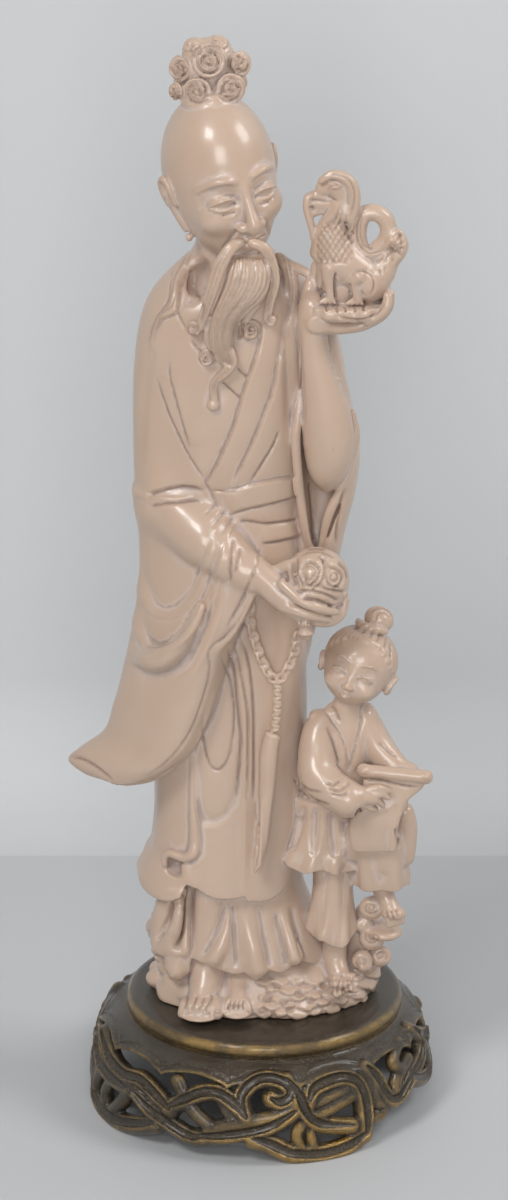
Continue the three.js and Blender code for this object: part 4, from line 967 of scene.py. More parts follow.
# Beard, moustache and side locks, drawn over the picture
whiskers = {
    "mass": [
        # left and right picture x, picture y, depth y, half thickness, from the tip up
        (224, 233, 366, -20.8, 1.4), (213, 232, 357, -21, 2.0), (207, 233, 342, -21.4, 2.5),
        (208, 236, 326, -22, 2.9),
        (212, 250, 312, -22.6, 3.4), (218, 264, 298, -23, 3.9), (224, 270, 282, -22.8, 4.3),
        (227, 270, 268, -21.8, 4.6),
        (231, 264, 256, -19.6, 4.8),
    ],
    "left": [(231, 257), (226, 270), (222, 285), (215, 302), (209, 320), (207, 340), (211, 352), (222, 364)],
    "right": [
        (264, 257), (270, 272), (268, 288), (258, 302), (242, 317), (235, 332), (233.6, 347), (232.6, 366),
    ],
    "tail": [
        (229, 350, -21.2, 1.6), (232, 362, -21.4, 1.7), (226, 372, -21.2, 1.6), (217, 380, -20.6, 1.4),
        (213, 388, -20.2, 1.3), (214.5, 399, -20, 1.1),
    ],
    "knob": (213, 405, -19.8),
    "moustache": [
        [
            (240, 243, -22.4, 1.5), (231, 248, -24, 2.0), (220, 266, -25, 2.1), (212, 290, -24.8, 2.0),
            (205, 312, -23.4, 1.6), (200, 328, -21.8, 1.2),
        ],
        [
            (252, 243, -22, 1.5), (264, 248, -22, 1.7), (272, 262, -21.6, 1.6), (275, 282, -21, 1.5),
            (270, 302, -20.6, 1.4), (267, 318, -20, 1.2),
        ],
    ],
    "curls": [
        # picture x, picture y, depth, radius, way, start
        (194, 329, -20.6, 2.5, -1, 0.0),
        (271, 321, -19.6, 1.9, 1, 0.5),
        (207, 358, -20.0, 2.8, 1, 0.5),
        (251, 330, -19.6, 3.3, 1, 0.6),
    ],
    "wisps": [
        [(256, 304, -21, 1.4), (248, 316, -20.6, 1.3), (244, 326, -20, 1.2), (247, 337, -19.6, 1.1)],
        [(210, 318, -22, 1.2), (207, 338, -21, 1.1), (213, 352, -20.6, 1.0)],
    ],
    "side": [
        [
            (192, 246, -8, 1.5), (187, 262, -11.6, 1.9), (179, 278, -14.8, 1.9), (175.6, 294, -16.8, 1.9),
            (170.6, 307, -17.4, 1.9), (162, 315, -16.8, 1.7), (157, 328, -15.6, 1.2), (152, 341, -14.8, 0.7),
        ],
        [
            (276, 240, -9, 1.6), (285, 256, -11, 2.2), (289, 274, -14, 2.2), (291, 292, -16, 1.8),
            (290, 310, -17, 1.2), (287, 328, -16.6, 0.8),
        ],
    ],
}


def makeWhiskers():
    drawnLoft(whiskers["mass"], 0.8, 2.3, soften=1.0)
    drawnBar(whiskers["tail"], 0.4)
    drawnEgg(whiskers["knob"], (2.0, 1.8, 2.0), 0.3)
    for u, v, y, radius, way, begin in whiskers["curls"]:
        spot = placed([(u, v, y)])[0]
        egg(spot + (0, 0.8, 0), (radius, 1.5, radius), None, 0.3)
        curl(spot + (0, -0.5, 0), (0, -1, 0.2), radius * 0.92, 0.62, 1.7, begin, way, 0.12)
    for path in whiskers["wisps"] + whiskers["moustache"]:
        drawnBar(path, 0.4, flat=0.75)
    for path in whiskers["side"]:
        drawnBar(path, 0.6, flat=0.6, facing=(0.3, -1, 0.2))


# The raised hand and the leaf on it
raisedHand = {
    "heel": [(313, 322, -14, 4.4), (314, 309, -14, 4.6), (310, 296, -11, 3.0), (311, 284, -10, 2.2)],
    "palm": [
        (316, 319, -14, 4.2), (330, 324, -14, 3.0), (346, 325, -14, 2.5), (362, 323, -14, 2.3),
        (374, 318, -14, 2.1),
    ],
    "fingers": [
        [(368, 320, -19, 1.9), (379, 315, -19.6, 1.8), (387, 305, -19.6, 1.7), (388, 296, -19, 1.5)],
        [(368, 321, -15.6, 2.0), (380, 316, -16, 1.9), (388, 306, -16, 1.8), (390, 294, -15.4, 1.5)],
        [(368, 320, -12, 1.9), (379, 314, -12, 1.8), (386, 304, -12, 1.7), (387, 291, -11.4, 1.5)],
        [(366, 318, -8.6, 1.8), (376, 312, -8.6, 1.7), (382, 301, -8.6, 1.6), (383, 290, -8, 1.3)],
    ],
    "leaf": [
        [271.4, 15, -13.5, 36, -13.5, 7.8], [272.4, 13.4, -13.5, 37.2, -13.5, 8.8],
        [275.6, 13.2, -13.5, 37.4, -13.5, 8.8],
    ],
}


def makeRaisedHand():
    drawnBar(raisedHand["heel"], 1.0)
    drawnBar(raisedHand["palm"], 1.2, flat=1.9, facing=(0, 1, 0))
    for path in raisedHand["fingers"]:
        drawnBar(path, 0.4)
    loft(raisedHand["leaf"], 0.3, 2.4, lambda turn, z, along: 0.3 * np.cos(18 * turn), soften=0.5)


# The beast, sitting side-on with its head drawn up
beast = {
    "middle": -13.4,
    "trunk": [
        (371, 284, 5.4), (360, 272, 6.0), (345, 262, 6.6), (334, 248, 6.2), (332, 234, 5.4), (337, 218, 4.2),
        (341, 205, 4.2),
    ],
    "belly": [(334, 262, 5.4), (330, 280, 4.4)],
    "rump": [(368, 280, 6.2), (380, 272, 4.8), (388, 258, 3.6)],
    "skull": [(324, 188, 2.6), (332, 184, 3.4), (341, 188, 4.0), (347, 196, 3.8)],
    "mane": [
        (321, 181, 1.0), (330, 175, 1.4), (340, 175.5, 1.7), (349, 181, 1.9), (354, 191, 1.9),
        (354.5, 204, 1.8), (352, 217, 1.4), (350.6, 230, 0.7),
    ],
    "upperJaw": [(342, 193, 2.0), (328, 195, 1.7), (316, 195, 1.6), (309, 197.5, 1.5)],
    "lowerJaw": [(343, 203, 1.7), (332, 206, 1.5), (322, 210, 1.3), (314, 213, 1.2)],
    "barbel": [
        (307.5, 198, 1.3), (307, 208, 1.3), (309.5, 219, 1.2), (312.5, 230, 1.1), (313.6, 240, 0.8),
        (317.4, 247, 0.75), (324, 251, 0.7), (330, 248.5, 0.6), (329.6, 244.4, 0.5), (326.4, 245.4, 0.5),
    ],
    "throat": [(336, 212, 2.2), (329, 224, 2.0), (322, 236, 2.6), (320, 252, 3.2)],
    "tailRing": [
        (376, 256, 2.8), (364, 253, 2.9), (358, 243, 3.0), (357, 231, 3.0), (360, 219, 2.9), (367, 213, 2.7),
        (377, 213, 2.7), (385.6, 220, 2.7), (388.4, 230, 2.6), (385, 240, 2.4), (377, 247, 2.2),
    ],
    "tailLip": [
        (356, 222, 0.8), (354.6, 236, 0.9), (358, 247, 1.0), (367, 253.4, 1.1), (378, 252, 1.1),
        (386, 245, 1.1), (392, 236, 1.1), (397, 231.6, 1.0), (402, 235, 0.9), (405, 243, 0.8),
    ],
    "fan": [(393, 240, 3.0), (399, 244, 3.0), (398, 252, 2.6), (392, 260, 2.4)],
    "fanCurl": (394.5, 246.5),
    "frontLeg": [(329.5, 267, 2.9), (329, 276, 2.3), (330.4, 288, 1.6), (331, 298, 1.5)],
    "farLeg": [(318.6, 266, 2.4), (316.6, 280, 2.2), (318, 297, 1.8)],
    "hindLeg": [(358, 276, 3.0), (353.6, 281, 2.2), (356.4, 290, 1.7), (358, 299, 1.5)],
    "haunch": (368, 284),
    "chest": (342, 286),
    "tongue": [(310, 202, 1.3), (318, 203, 1.9), (328, 202, 2.2)],
    "chin": [(311, 208, 1.0), (318, 208, 1.2)],
    "eye": (335, 187),
    "brow": [(328, 189, 0, 0.4), (333, 184.6, 0.6, 0.5), (340, 184.6, 0.6, 0.5), (344, 189, 0, 0.4)],
    "nostril": (311, 196),
    "fang": [(322, 199, 0.6), (321, 204, 0.4)],
    # picture x of each toe; the far front foot shows three
    "frontToes": (320, 325, 330, 334.6),
    "farToes": (311, 315, 319),
    "hindToes": (347, 352, 357, 362),
}


def beastBar(name, blend=0.4, out=0.0, flat=1.0):
    drawnBar([(u, v, beast["middle"] + out, r) for u, v, r in beast[name]], blend, flat)


def makeBeast():
    middle = beast["middle"]
    beastBar("trunk", 1.0)
    beastBar("belly", 1.5)
    beastBar("rump", 1.2)
    drawnEgg((*beast["chest"], middle - 0.6), (4.6, 3.4, 5.6), 0.8)
    beastBar("throat", 1.0)
    beastBar("skull", 1.0)
    beastBar("upperJaw", 0.4)
    beastBar("lowerJaw", 0.4)
    beastBar("barbel", 0.25, -0.6)
    beastBar("tongue", 0.8)
    beastBar("chin", 0.8)
    for out in (-3.2, 0.0, 3.0):
        beastBar("mane", 0.5, out)
    for shift in (0, 1, 2):  # locks behind the jaw
        rows = [
            (341 + shift * 4, 206, -3.4, 0.75),
            (338 + shift * 4.4, 217, -4.2, 0.8),
            (340 + shift * 4.6, 227, -3.6, 0.45),
        ]
        drawnBar([(u, v, middle + y, r) for u, v, y, r in rows], 0.2)
        drawnBar([(u, v, middle - y, r) for u, v, y, r in rows], 0.2)
    for side in (-1, 1):
        out = middle + side * 3.0
        drawnEgg((*beast["eye"], out + side * 0.8), (1.9, 0.9, 0.7), 0.2)
        drawnBar([(u, v, out + side * y, r) for u, v, y, r in beast["brow"]], 0.2)
        drawnEgg((*beast["nostril"], middle + side * 1.4), (0.8, 0.5, 0.5), 0.2)
        beastBar("fang", 0.2, side * 1.4)
    beastBar("tailRing", 0.4, 0.6)
    for out in (-1.6, 1.8):
        beastBar("tailLip", 0.25, out)
    drawnBar([(u, v, middle, r) for u, v, r in beast["fan"]], 0.6, flat=1.4)
    for number in range(6):  # ribs of the tail's fan
        t = math.radians(-60 + 34 * number)
        u, v = beast["fanCurl"]
        for side in (-2.8, 2.8):
            inner = (u + 5 * math.cos(t), v + 5 * math.sin(t), middle + side, 0.5)
            outer = (u + 11 * math.cos(t), v + 11.5 * math.sin(t), middle + side * 0.7, 0.55)
            drawnBar([inner, outer], 0.2)
    drawnCurl((*beast["fanCurl"], middle - 3.2), 2.1, 0.55, 1.5, 0.3, -1, (0, -1, 0.1), 0.15)
    for side, frontLeg, frontToes in ((-1, "frontLeg", "frontToes"), (1, "farLeg", "farToes")):
        out = middle + side * 4.2
        drawnEgg((*beast["haunch"], out), (3.9, 2.8, 4.8), 0.6)
        drawnBar([(u, v, out + side * 0.6, r) for u, v, r in beast["hindLeg"]], 0.4)
        drawnBar([(u, v, out, r) for u, v, r in beast[frontLeg]], 0.5)
        for leg, toes in (("hindLeg", "hindToes"), (frontLeg, frontToes)):
            footU, footV, _ = beast[leg][-1]
            for u in beast[toes]:
                knuckle = ((u + footU) / 2, footV + 1.4, out - 0.4, 0.8)
                drawnBar([(footU, footV, out, 1.1), knuckle, (u, footV + 4.6, out - 0.8, 0.6)], 0.25)


# The lowered hand with its ball of buds and bands
loweredHand = {
    "ball": (316.2, 580, -26.5),
    "radius": 10.5,
    "buds": [(308, 571), (335, 577), (296, 566), (322, 553), (345, 590)],
    # buds at the back, in shares of the radius
    "backBuds": [(0.4, 0.8, 0.4), (-0.5, 0.85, 0.1), (0.2, 0.9, -0.4)],
    "palm": [
        (252, 566, -25, 4.2), (266, 580, -27, 4.6), (281, 595, -29, 4.6), (298, 608, -30, 4.1),
        (316, 615, -28.6, 3.5), (332, 612, -27.4, 3.0), (340, 602, -25, 2.2),
    ],
    "fingers": [
        [
            (283, 584, -32, 2.0), (300, 600, -36, 1.7), (315, 606.6, -36.6, 1.6), (327, 610.4, -35, 1.4),
            (336, 612, -32.6, 1.1),
        ],
        [(284, 606, -32, 2.0), (300, 612, -35, 1.7), (315, 616, -35, 1.6), (328, 619, -33, 1.4)],
        [
            (300, 616, -31, 1.8), (318, 622, -31.4, 1.6), (333, 621, -30, 1.5), (342, 613, -28.4, 1.4),
            (346, 600, -27, 1.2),
        ],
    ],
    "knob": [(306, 612, -32, 1.6), (306, 620, -32.4, 1.9), (306, 634, -31.4, 1.9)],
    "rings": [(306, 623, -32.6, 2.7, 1.3), (306, 632, -31.8, 2.8, 1.1)],
    "thumb": [(272, 574, -25, 2.2), (286, 566, -27, 1.8), (296, 562, -28, 1.3)],
    "drop": [(309, 640, -16, 1.8), (310, 648, -14, 1.4), (308, 656, -12, 0.6)],
}


def makeLoweredHand():
    middle, radius = placed([loweredHand["ball"]])[0], loweredHand["radius"]
    drawnBar(loweredHand["palm"], 1.2)
    egg(middle, (radius - 0.1,) * 3, None, 0.4)
    spots = []
    for u, v in loweredHand["buds"]:
        near = placed([(u, v, middle[1])])[0] - middle
        flat = math.hypot(near[0], near[2])
        spots.append((near[0], -math.sqrt(max(radius**2 - flat**2, 1)), near[2]))
    spots += [tuple(share * radius for share in bud) for bud in loweredHand["backBuds"]]
    for number, spot in enumerate(spots):  # those at the back sit in crossing petals
        out = np.array(spot) / np.linalg.norm(spot)
        side = np.cross(out, (0, 0, 1))
        side /= np.linalg.norm(side)
        over = np.cross(out, side)
        lean = 0.5 + number
        petals = ((0.36, 0.2, 0.55), (0.52, 0.34, 0.5)) if number >= len(loweredHand["buds"]) else ()
        for spread, long, thick in petals:
            t = np.linspace(0, 2 * math.pi, 22)
            wide = spread * (1 + long * np.cos(4 * (t + lean)))
            away = out + np.outer(np.cos(t) * wide, side) + np.outer(np.sin(t) * wide, over)
            away /= np.linalg.norm(away, axis=1, keepdims=True)
            bar(np.column_stack([middle + away * (radius - 0.45), np.full(22, thick)]), 0.2, step=1.0)
        egg(middle + out * (radius - 0.5), (1.5, 1.5, 1.5), None, 0.2)
        egg(middle + out * (radius + 0.9), (0.8, 0.8, 0.8), None, 0.2, cut=True)
    for level in (-0.46, -0.62, -0.78):  # bands under the flowers
        ring = math.sqrt(1 - level**2)
        t = np.linspace(0, 2 * math.pi, 40)
        place = middle + (radius - 0.3) * np.column_stack([
            ring * np.cos(t), ring * np.sin(t), np.full(40, level),
        ])
        bar(np.column_stack([place, np.full(40, 0.6)]), 0.2)
    for path in loweredHand["fingers"]:
        drawnBar(path, 0.45)
    drawnBar(loweredHand["thumb"], 0.6)
    drawnBar(loweredHand["knob"], 0.4)
    for u, v, y, wide, tall in loweredHand["rings"]:
        drawnEgg((u, v, y), (wide, wide, tall), 0.2)
    drawnBar(loweredHand["drop"], 0.5)


# Beads and tassel below the hand
beads = {
    "left": [
        (250.4, 600, -20.4), (251, 624, -20), (256, 643, -20), (262.4, 661, -20), (270, 675, -20.4),
        (277, 681, -20.6),
    ],
    "right": [(297, 634, -23), (294.6, 652, -19.8), (287, 669, -19.6), (281, 678, -20), (277, 681, -20.6)],
    "cord": [(277.4, 682, -20.4), (277, 706, -20.4), (275, 730, -20.4)],
    "knot": [(272.6, 736, -20.6), (271, 744, -20.6)],
    "tongue": [
        (270.4, 742, -20.6, 2.5), (268.4, 758, -21, 2.8), (267, 785, -21, 2.5), (264.8, 812, -21.8, 2.1),
        (262, 838, -23.2, 1.9), (258.6, 857, -24.6, 1.4), (254.6, 872, -25.6, 0.6),
    ],
}


def evenly(rows, gap):
    path = smoothPath([(*row, 0) for row in placed(rows)[:, :3]], 0.3)[:, :3]
    far = np.concatenate([[0], np.cumsum(np.linalg.norm(np.diff(path, axis=0), axis=1))])
    at = np.arange(0, far[-1], gap)
    return np.stack([np.interp(at, far, path[:, k]) for k in range(3)], -1)


def makeBeads():
    for name in ("left", "right"):
        places = evenly(beads[name], 2.5) - (0, 0.4, 0)
        run = np.gradient(places, axis=0)
        run /= np.linalg.norm(run, axis=1, keepdims=True)
        bar(np.column_stack([places + (0, 0.7, 0), np.full(len(places), 0.75)]), 0.2)
        for number, (place, along) in enumerate(zip(places, run)):  # links, turned by halves
            over = np.cross(along, (0, -1, 0) if number % 2 else (0.6, -0.7, 0.2))
            over /= np.linalg.norm(over)
            t = np.linspace(0, 2 * math.pi, 10)
            ring = place + np.outer(np.cos(t) * 1.7, along) + np.outer(np.sin(t) * 1.25, over)
            bar(np.column_stack([ring, np.full(10, 0.62)]), 0.12, step=0.8)
    for number, place in enumerate(evenly(beads["cord"], 1.35)):
        egg(place, (1.65, 1.4, 0.84), turned(0, 12 if number % 2 else -12, 0), 0.12)
    for place in evenly(beads["knot"], 1.2):
        egg(place, (2.7, 1.8, 1.2), turned(0, 25, 0), 0.2)
    drawnBar(beads["tongue"], 0.3, flat=0.8)
    for shift in (-1.0, 1.0):
        drawnBar([(u + shift * r * 2.2, v, y - 0.3, 0.5) for u, v, y, r in beads["tongue"][:-1]], 0.15)


def makeFoot(leg, ball, ballSize, roots, tips, thick, heel, sole=None):
    bar(leg, 1.0)
    if sole:
        egg(*sole, None, 0.5)
    egg(ball, ballSize, turned(-12, 0, 0), 1.2)
    egg(heel, (thick * 2.6, thick * 2.4, thick * 2.0), None, 1.0)
    (a, b), (c, d) = np.array(roots, float), np.array(tips, float)
    for share in np.linspace(0, 1, 5):
        root, tip = a + (b - a) * share, c + (d - c) * share
        radius = thick * (0.85 + 0.3 * share**2)
        knuckle = (root + tip) / 2 + (0, -0.2, 0.55 * thick)
        bar([(*root, radius * 0.8), (*knuckle, radius), (*tip, radius * 0.95)], 0.55, step=0.8)
        egg(
            tip + (0, -0.55 * radius, 0.72 * radius), (radius * 0.5, 0.5 * radius, 0.3 * radius),
            turned(-35, 0, 0), 0.1,
        )


# The boy with the scroll
boy = {
    "torso": [
        # left and right picture x, picture y, depth y, half thickness, from the sash up
        (300, 364, 800, -8, 8.4), (302, 366, 785, -8, 8.2), (304, 370, 765, -8.4, 8.0),
        (306, 373, 742, -8.6, 7.6),
        (312, 371, 726, -9, 6.6), (320, 366, 714, -9.4, 5.2), (333, 359, 704, -9.8, 4.0),
    ],
    "skirt": [
        [82, 1.2, -9.5, 31.4, -8.5, 11.6], [87, 2.4, -9.5, 31.4, -8.5, 11.6], [94, 6, -9, 30.8, -8.3, 10.2],
        [100, 8.8, -8.5, 30.4, -8, 9.2], [108, 11, -8, 30, -8, 8.2],
    ],
    "skirtAcross": [2, 5, 8, 12, 16, 20, 24, 28, 33],
    "skirtHeight": [92, 90, 87.4, 85.8, 86.8, 86.4, 85, 85.2, 87],
    "head": (30.0, -10.5, 154.4),
    "turn": (-9, 17, -14),
    "scale": 1.02,
    "nearArm": [
        (330, 712, -9.4, 3.0), (320, 727, -12, 4.8), (317, 742, -14.4, 5.5), (316.6, 760, -16.6, 6.1),
        (318, 774, -19, 6.4), (328, 786, -22, 6.2), (340, 794, -24.6, 6.0), (348, 799, -25.6, 6.0),
    ],
    "farArm": [
        (364, 714, -9, 4.0), (369, 728, -9.6, 4.8), (377, 744, -11, 5.0), (386, 757, -13, 4.8),
        (400, 768, -15.6, 3.6), (410, 772, -17, 3.0),
    ],
    "fill": (367, 752, -8),
    "hand": [(352, 798, -26, 3.0), (362, 796, -26, 3.2), (372, 797, -26, 2.8)],
    "fingers": [
        [(369, 790, -26.6, 1.3), (379, 788, -26.6, 1.2), (389, 791, -25.4, 0.9)],
        [(371, 795, -27, 1.3), (381, 794, -27, 1.15), (388, 798, -26, 0.9)],
        [(370, 800, -26.6, 1.3), (378, 801, -26.6, 1.15), (383, 806, -25.4, 0.9)],
        [(362, 803, -26.6, 1.4), (369, 807, -26.4, 1.2), (375, 809, -25.6, 1.0)],
    ],
    "trouser": [
        (305, 357, 938, -12.6, 7.6), (306, 356, 924, -12.4, 7.4), (310, 354, 905, -11.8, 6.6),
        (313, 353, 880, -10.8, 6.2),
        (312, 352, 858, -10, 6.2),
    ],
    "trouserAcross": [13, 16, 19, 22, 25, 28, 31],
    "trouserHeight": [64.5, 62.4, 62, 59.6, 59.4, 61.4, 64.5],
    "sash": [[102.6, 9.4, -8, 31.2, -8, 8.8], [105.6, 9.0, -8, 31.4, -8, 9.3], [109, 9.6, -8, 31, -8, 8.9]],
    "cuff": (355, 803, -26.2),
    "thigh": [(344, 838, -10, 7.4), (366, 838, -13, 7.8), (384, 840, -14, 7.2)],
    "shin": [(384, 842, -14, 7.0), (385, 858, -14, 6.6)],
    "raisedHem": [
        [79.5, 28.6, -13, 46.4, -13, 7.2], [86, 28, -13, 46, -13, 7], [95, 28, -13, 45.6, -13, 6.6],
    ],
}
boyHead = {
    # right, forward and up
    "neck": [(25.4, -9.5, 137, 4.6), (27.2, -10, 145, 4.2)],
    "lid": [(-2.6, 9.4, -0.9), (-1.0, 10.7, 0.4), (0.8, 10.6, 0.5), (2.6, 9.2, -0.7)],
    "slit": [(-2.3, 9.8, -0.3), (0, 10.9, 0.2), (2.3, 9.6, -0.2)],
    "brow": [(2.2, 10.3, 2.4, 0.3), (4.6, 10.1, 3.3, 0.42), (7, 8.6, 2.5, 0.3)],
    "earRim": [
        (10.8, 1.6, -5, 0.65), (12.0, 1.2, -2, 0.65), (12.4, -1.0, -0.2, 0.65), (12.0, -2.6, -2.4, 0.65),
    ],
    "nose": [(0, 9.9, -1.4, 0.7), (0, 10.9, -3.6, 0.8), (0, 11.5, -5.0, 1.1)],
    "upperLip": [(-2.0, 9.4, -7.4, 0.45), (0, 10.6, -7.0, 0.7), (2.0, 9.4, -7.4, 0.45)],
    "lowerLip": [(-1.5, 9.5, -8.1, 0.45), (0, 10.3, -8.6, 0.8), (1.5, 9.5, -8.1, 0.45)],
    "mouth": [(-2.3, 9.8, -7.6, 0.3), (0, 11.2, -7.8, 0.34), (2.3, 9.8, -7.6, 0.3)],
    "strands": 34,
    # degrees round from the face, and the hairline's degrees down from the crown
    "hairAround": [0, 35, 60, 95, 180],
    "hairDown": [38, 44, 68, 96, 126],
    "knotBase": ((0.4, -1.4, 12.4), (3.6, 3.4, 1.6), 0.4),
    "knot": ((1.0, -1.6, 15.4), (4.7, 4.3, 4.0), 0.2),
    "knotBand": [
        (-4.6, -0.4, 12.6, 1.2), (-2.6, 2.8, 12.8, 1.6), (1.2, 3.2, 13.0, 1.5), (4.4, 1.4, 13.2, 1.0),
    ],
}


def onBoy(rows):
    rows = np.atleast_2d(np.asarray(rows, float))
    local = np.column_stack([rows[:, 0], -rows[:, 1], rows[:, 2]]) * boy["scale"]
    return np.column_stack([
        local @ turned(*boy["turn"]).T + np.array(boy["head"]), rows[:, 3:] * boy["scale"],
    ])


def boyBar(rows, blend=0.6, cut=False, flat=1.0):
    bar(onBoy(rows), blend, flat, turned(*boy["turn"]) @ np.array((0, -1.0, 0)), cut, step=0.8)


def boyEgg(middle, radii, blend=0.6, cut=False):
    egg(onBoy([middle])[0], np.array(radii) * boy["scale"], turned(*boy["turn"]), blend, cut)


def makeBoyHead():
    bar(boyHead["neck"], 1.5)
    boyEgg((0, -0.4, 1.0), (11.0, 10.8, 11.0))
    boyEgg((0, 2.4, -4.8), (8.8, 8.2, 7.2), 3.0)
    for side in (-1, 1):
        boyEgg((side * 4.3, 11.2, -1.2), (2.9, 1.9, 1.6), 1.2, cut=True)
        boyEgg((side * 4.4, 8.6, -1.5), (2.4, 2.0, 1.5), 0.3)
        boyBar([(side * (4.4 + r), f, u - 1.0, 0.38) for r, f, u in boyHead["lid"]], 0.15)
        boyBar([(side * (4.4 + r), f, u - 1.7, 0.32) for r, f, u in boyHead["slit"]], 0.15, cut=True)
        boyBar(lifted(boyHead["brow"], 0, side), 0.4)
        boyEgg((side * 5.0, 8.0, -5.4), (3.0, 2.4, 2.6), 1.6)
        boyEgg((side * 11.0, -0.6, -3.2), (1.5, 2.3, 3.3), 0.5)
        boyBar(lifted(boyHead["earRim"], 0, side), 0.2)
        boyEgg((side * 12.4, -0.4, -2.8), (0.9, 1.2, 2.0), 0.3, cut=True)
        boyEgg((side * 1.1, 10.9, -5.4), (0.9, 1.1, 0.8), 0.4)
    boyBar(boyHead["nose"], 0.6)
    boyBar(boyHead["upperLip"], 0.3)
    boyBar(boyHead["lowerLip"], 0.3)
    boyBar(boyHead["mouth"], 0.15, cut=True)
    strands = boyHead["strands"]
    for k in range(strands):  # hair combed up from the hairline to the crown
        around = (k + 0.5) / strands * 360 - 180
        hairline = np.interp(abs(around), boyHead["hairAround"], boyHead["hairDown"])
        rows = []
        for polar in np.linspace(hairline, 8, 7):
            a, p = math.radians(around), math.radians(polar)
            right = 10.9 * math.sin(a) * math.sin(p)
            forward = 10.7 * math.cos(a) * math.sin(p) - 0.4
            rows.append((right, forward, 10.9 * math.cos(p) + 1.0, 0.4 + 0.55 * math.sin(p)))
        boyBar(rows, 0.3)
    boyEgg(*boyHead["knotBase"])
    boyEgg(*boyHead["knot"])
    boyBar(boyHead["knotBand"], 0.2)


def makeBoyBody():
    def skirtRipple(turn, z, along):
        return 0.8 * np.clip((102 - z) / 18, 0, 1) * np.cos(11 * turn + 0.5)

    def skirtHem(x, y):
        return np.interp(x, boy["skirtAcross"], boy["skirtHeight"]) + 0 * y

    def trouserRipple(turn, z, along):
        return 0.7 * np.clip((75 - z) / 12, 0, 1) * np.cos(7 * turn + 1)

    def trouserHem(x, y):
        return np.interp(x, boy["trouserAcross"], boy["trouserHeight"]) + 0 * y

    drawnLoft(boy["torso"], 1.0)
    loft(boy["skirt"], 0.6, 2.3, skirtRipple, skirtHem, soften=0.7)
    loft(boy["sash"], 0.3, soften=0.8)
    drawnBar(boy["nearArm"], 1.0)
    drawnEgg(boy["cuff"], (2.6, 4.2, 3.9), 0.5, cut=True)
    drawnBar(boy["farArm"], 1.0)
    drawnEgg(boy["fill"], (6.5, 5, 8), 1.5)
    drawnBar(boy["hand"], 0.8)
    for path in boy["fingers"]:
        drawnBar(path, 0.2)
    drawnLoft(boy["trouser"], 0.8, 2.2, trouserRipple, trouserHem)
    drawnBar(boy["thigh"], 1.2)
    drawnBar(boy["shin"], 1.0)
    loft(boy["raisedHem"], 1.0, 2.4, lambda turn, z, along: 0.7 * np.cos(6 * turn), soften=0.8)
    footOf("standing")
    footOf("raised")


boyFeet = {
    "standing": {
        "leg": [(335, 935, -12.4, 4.2), (335, 956, -12.6, 3.9), (338, 969, -15.2, 3.5), (342, 979, -18, 2.8)],
        "ball": (343, 981, -18.6),
        "ballSize": (5.0, 4.6, 2.2),
        "roots": [(335.5, 981, -19), (352, 977, -18.6)],
        "tips": [(336, 993, -22.4), (354.6, 989, -21.8)],
        "thick": 1.15,
        "heel": (334, 966, -11),
    },
    "raised": {
        "leg": [(378, 858, -13, 4.2), (379, 878, -12.6, 3.6), (384, 893, -12.8, 3.1), (390, 906, -14.6, 2.9)],
        "ball": (393.5, 913, -16),
        "ballSize": (4.0, 4.0, 2.4),
        "roots": [(386.5, 912, -16.8), (399, 910, -16)],
        "tips": [(388.6, 926, -18), (402, 921, -17)],
        "thick": 0.98,
        "heel": (380, 899, -11.6),
    },
}


def footOf(name):
    made = boyFeet[name]
    leg, roots, tips = (placed(made[part]) for part in ("leg", "roots", "tips"))
    ball, heel = placed([made["ball"], made["heel"]])
    makeFoot(leg, ball, made["ballSize"], roots, tips, made["thick"], heel)


scroll = {
    "roll": [(364, 771, -20.6, 2.2), (426, 777, -20.6, 2.3)],
    "sheet": [
        (352, 392, 850, -21.4, 2.0), (349, 392, 834, -21.6, 2.3), (350, 395, 820, -22, 2.3),
        (357, 400, 808, -21.8, 2.1),
        (362, 410, 798, -21, 1.9), (363, 421, 789, -20.4, 1.8), (363, 428, 778, -20.2, 1.8),
    ],
    "fold": [(404, 802, -20.6, 1.5), (398, 811, -22, 1.6), (394, 824, -22.8, 1.6), (392, 848, -22.8, 1.4)],
    "side": [(405, 812, -16, 3.0), (407, 830, -15, 3.4), (405, 856, -14, 3.2)],
}


def makeScroll():
    drawnBar(scroll["roll"], 0.3)
    drawnLoft(scroll["sheet"], 0.4, 3.6, soften=0.6)
    drawnBar(scroll["side"], 1.0)
    drawnBar(scroll["fold"], 0.8)
    for u, v, _, _ in scroll["roll"]:  # a knob on each end
        drawnEgg((u, v, -22.2), (1.1, 1.2, 1.1), 0.3)


# The cloud underfoot: scalloped plates and small scrolls
cloud = {
    "mound": [
        [37.3, -36.6, 0, 35.4, 0, 26.2], [40.5, -36.4, 0, 35.2, 0, 25.8], [43.5, -35, 0.4, 34, 0.4, 23.8],
        [46.4, -32.6, 0.8, 32, 0.8, 21],
        [50, -29, 1, 29.6, 1, 18], [54, -24, 2, 24, 2, 14],
    ],
    "tower": [(30.6, -3, 42, 6.8), (32, -4, 52, 6.4), (32, -6, 60, 5.6), (33.6, -7, 65, 4.8)],
    "scrolls": [
        # picture x, picture y, depth, radius
        (371, 908, -12.6, 3.6), (372, 938, -12.4, 3.8), (362, 960, -13.6, 3.2), (380, 956, -9.6, 3.4),
        (364, 925, -12, 2.6),
    ],
    "step": (38.6, -12, 62.2),
    # two rows of puffs: height, turn, then the row's left, depth, right and half thickness
    "puffs": [(41.0, 0.0, (-36.6, 0, 35.2, 26)), (46.6, 0.15, (-33.4, 0.6, 32.4, 22))],
}
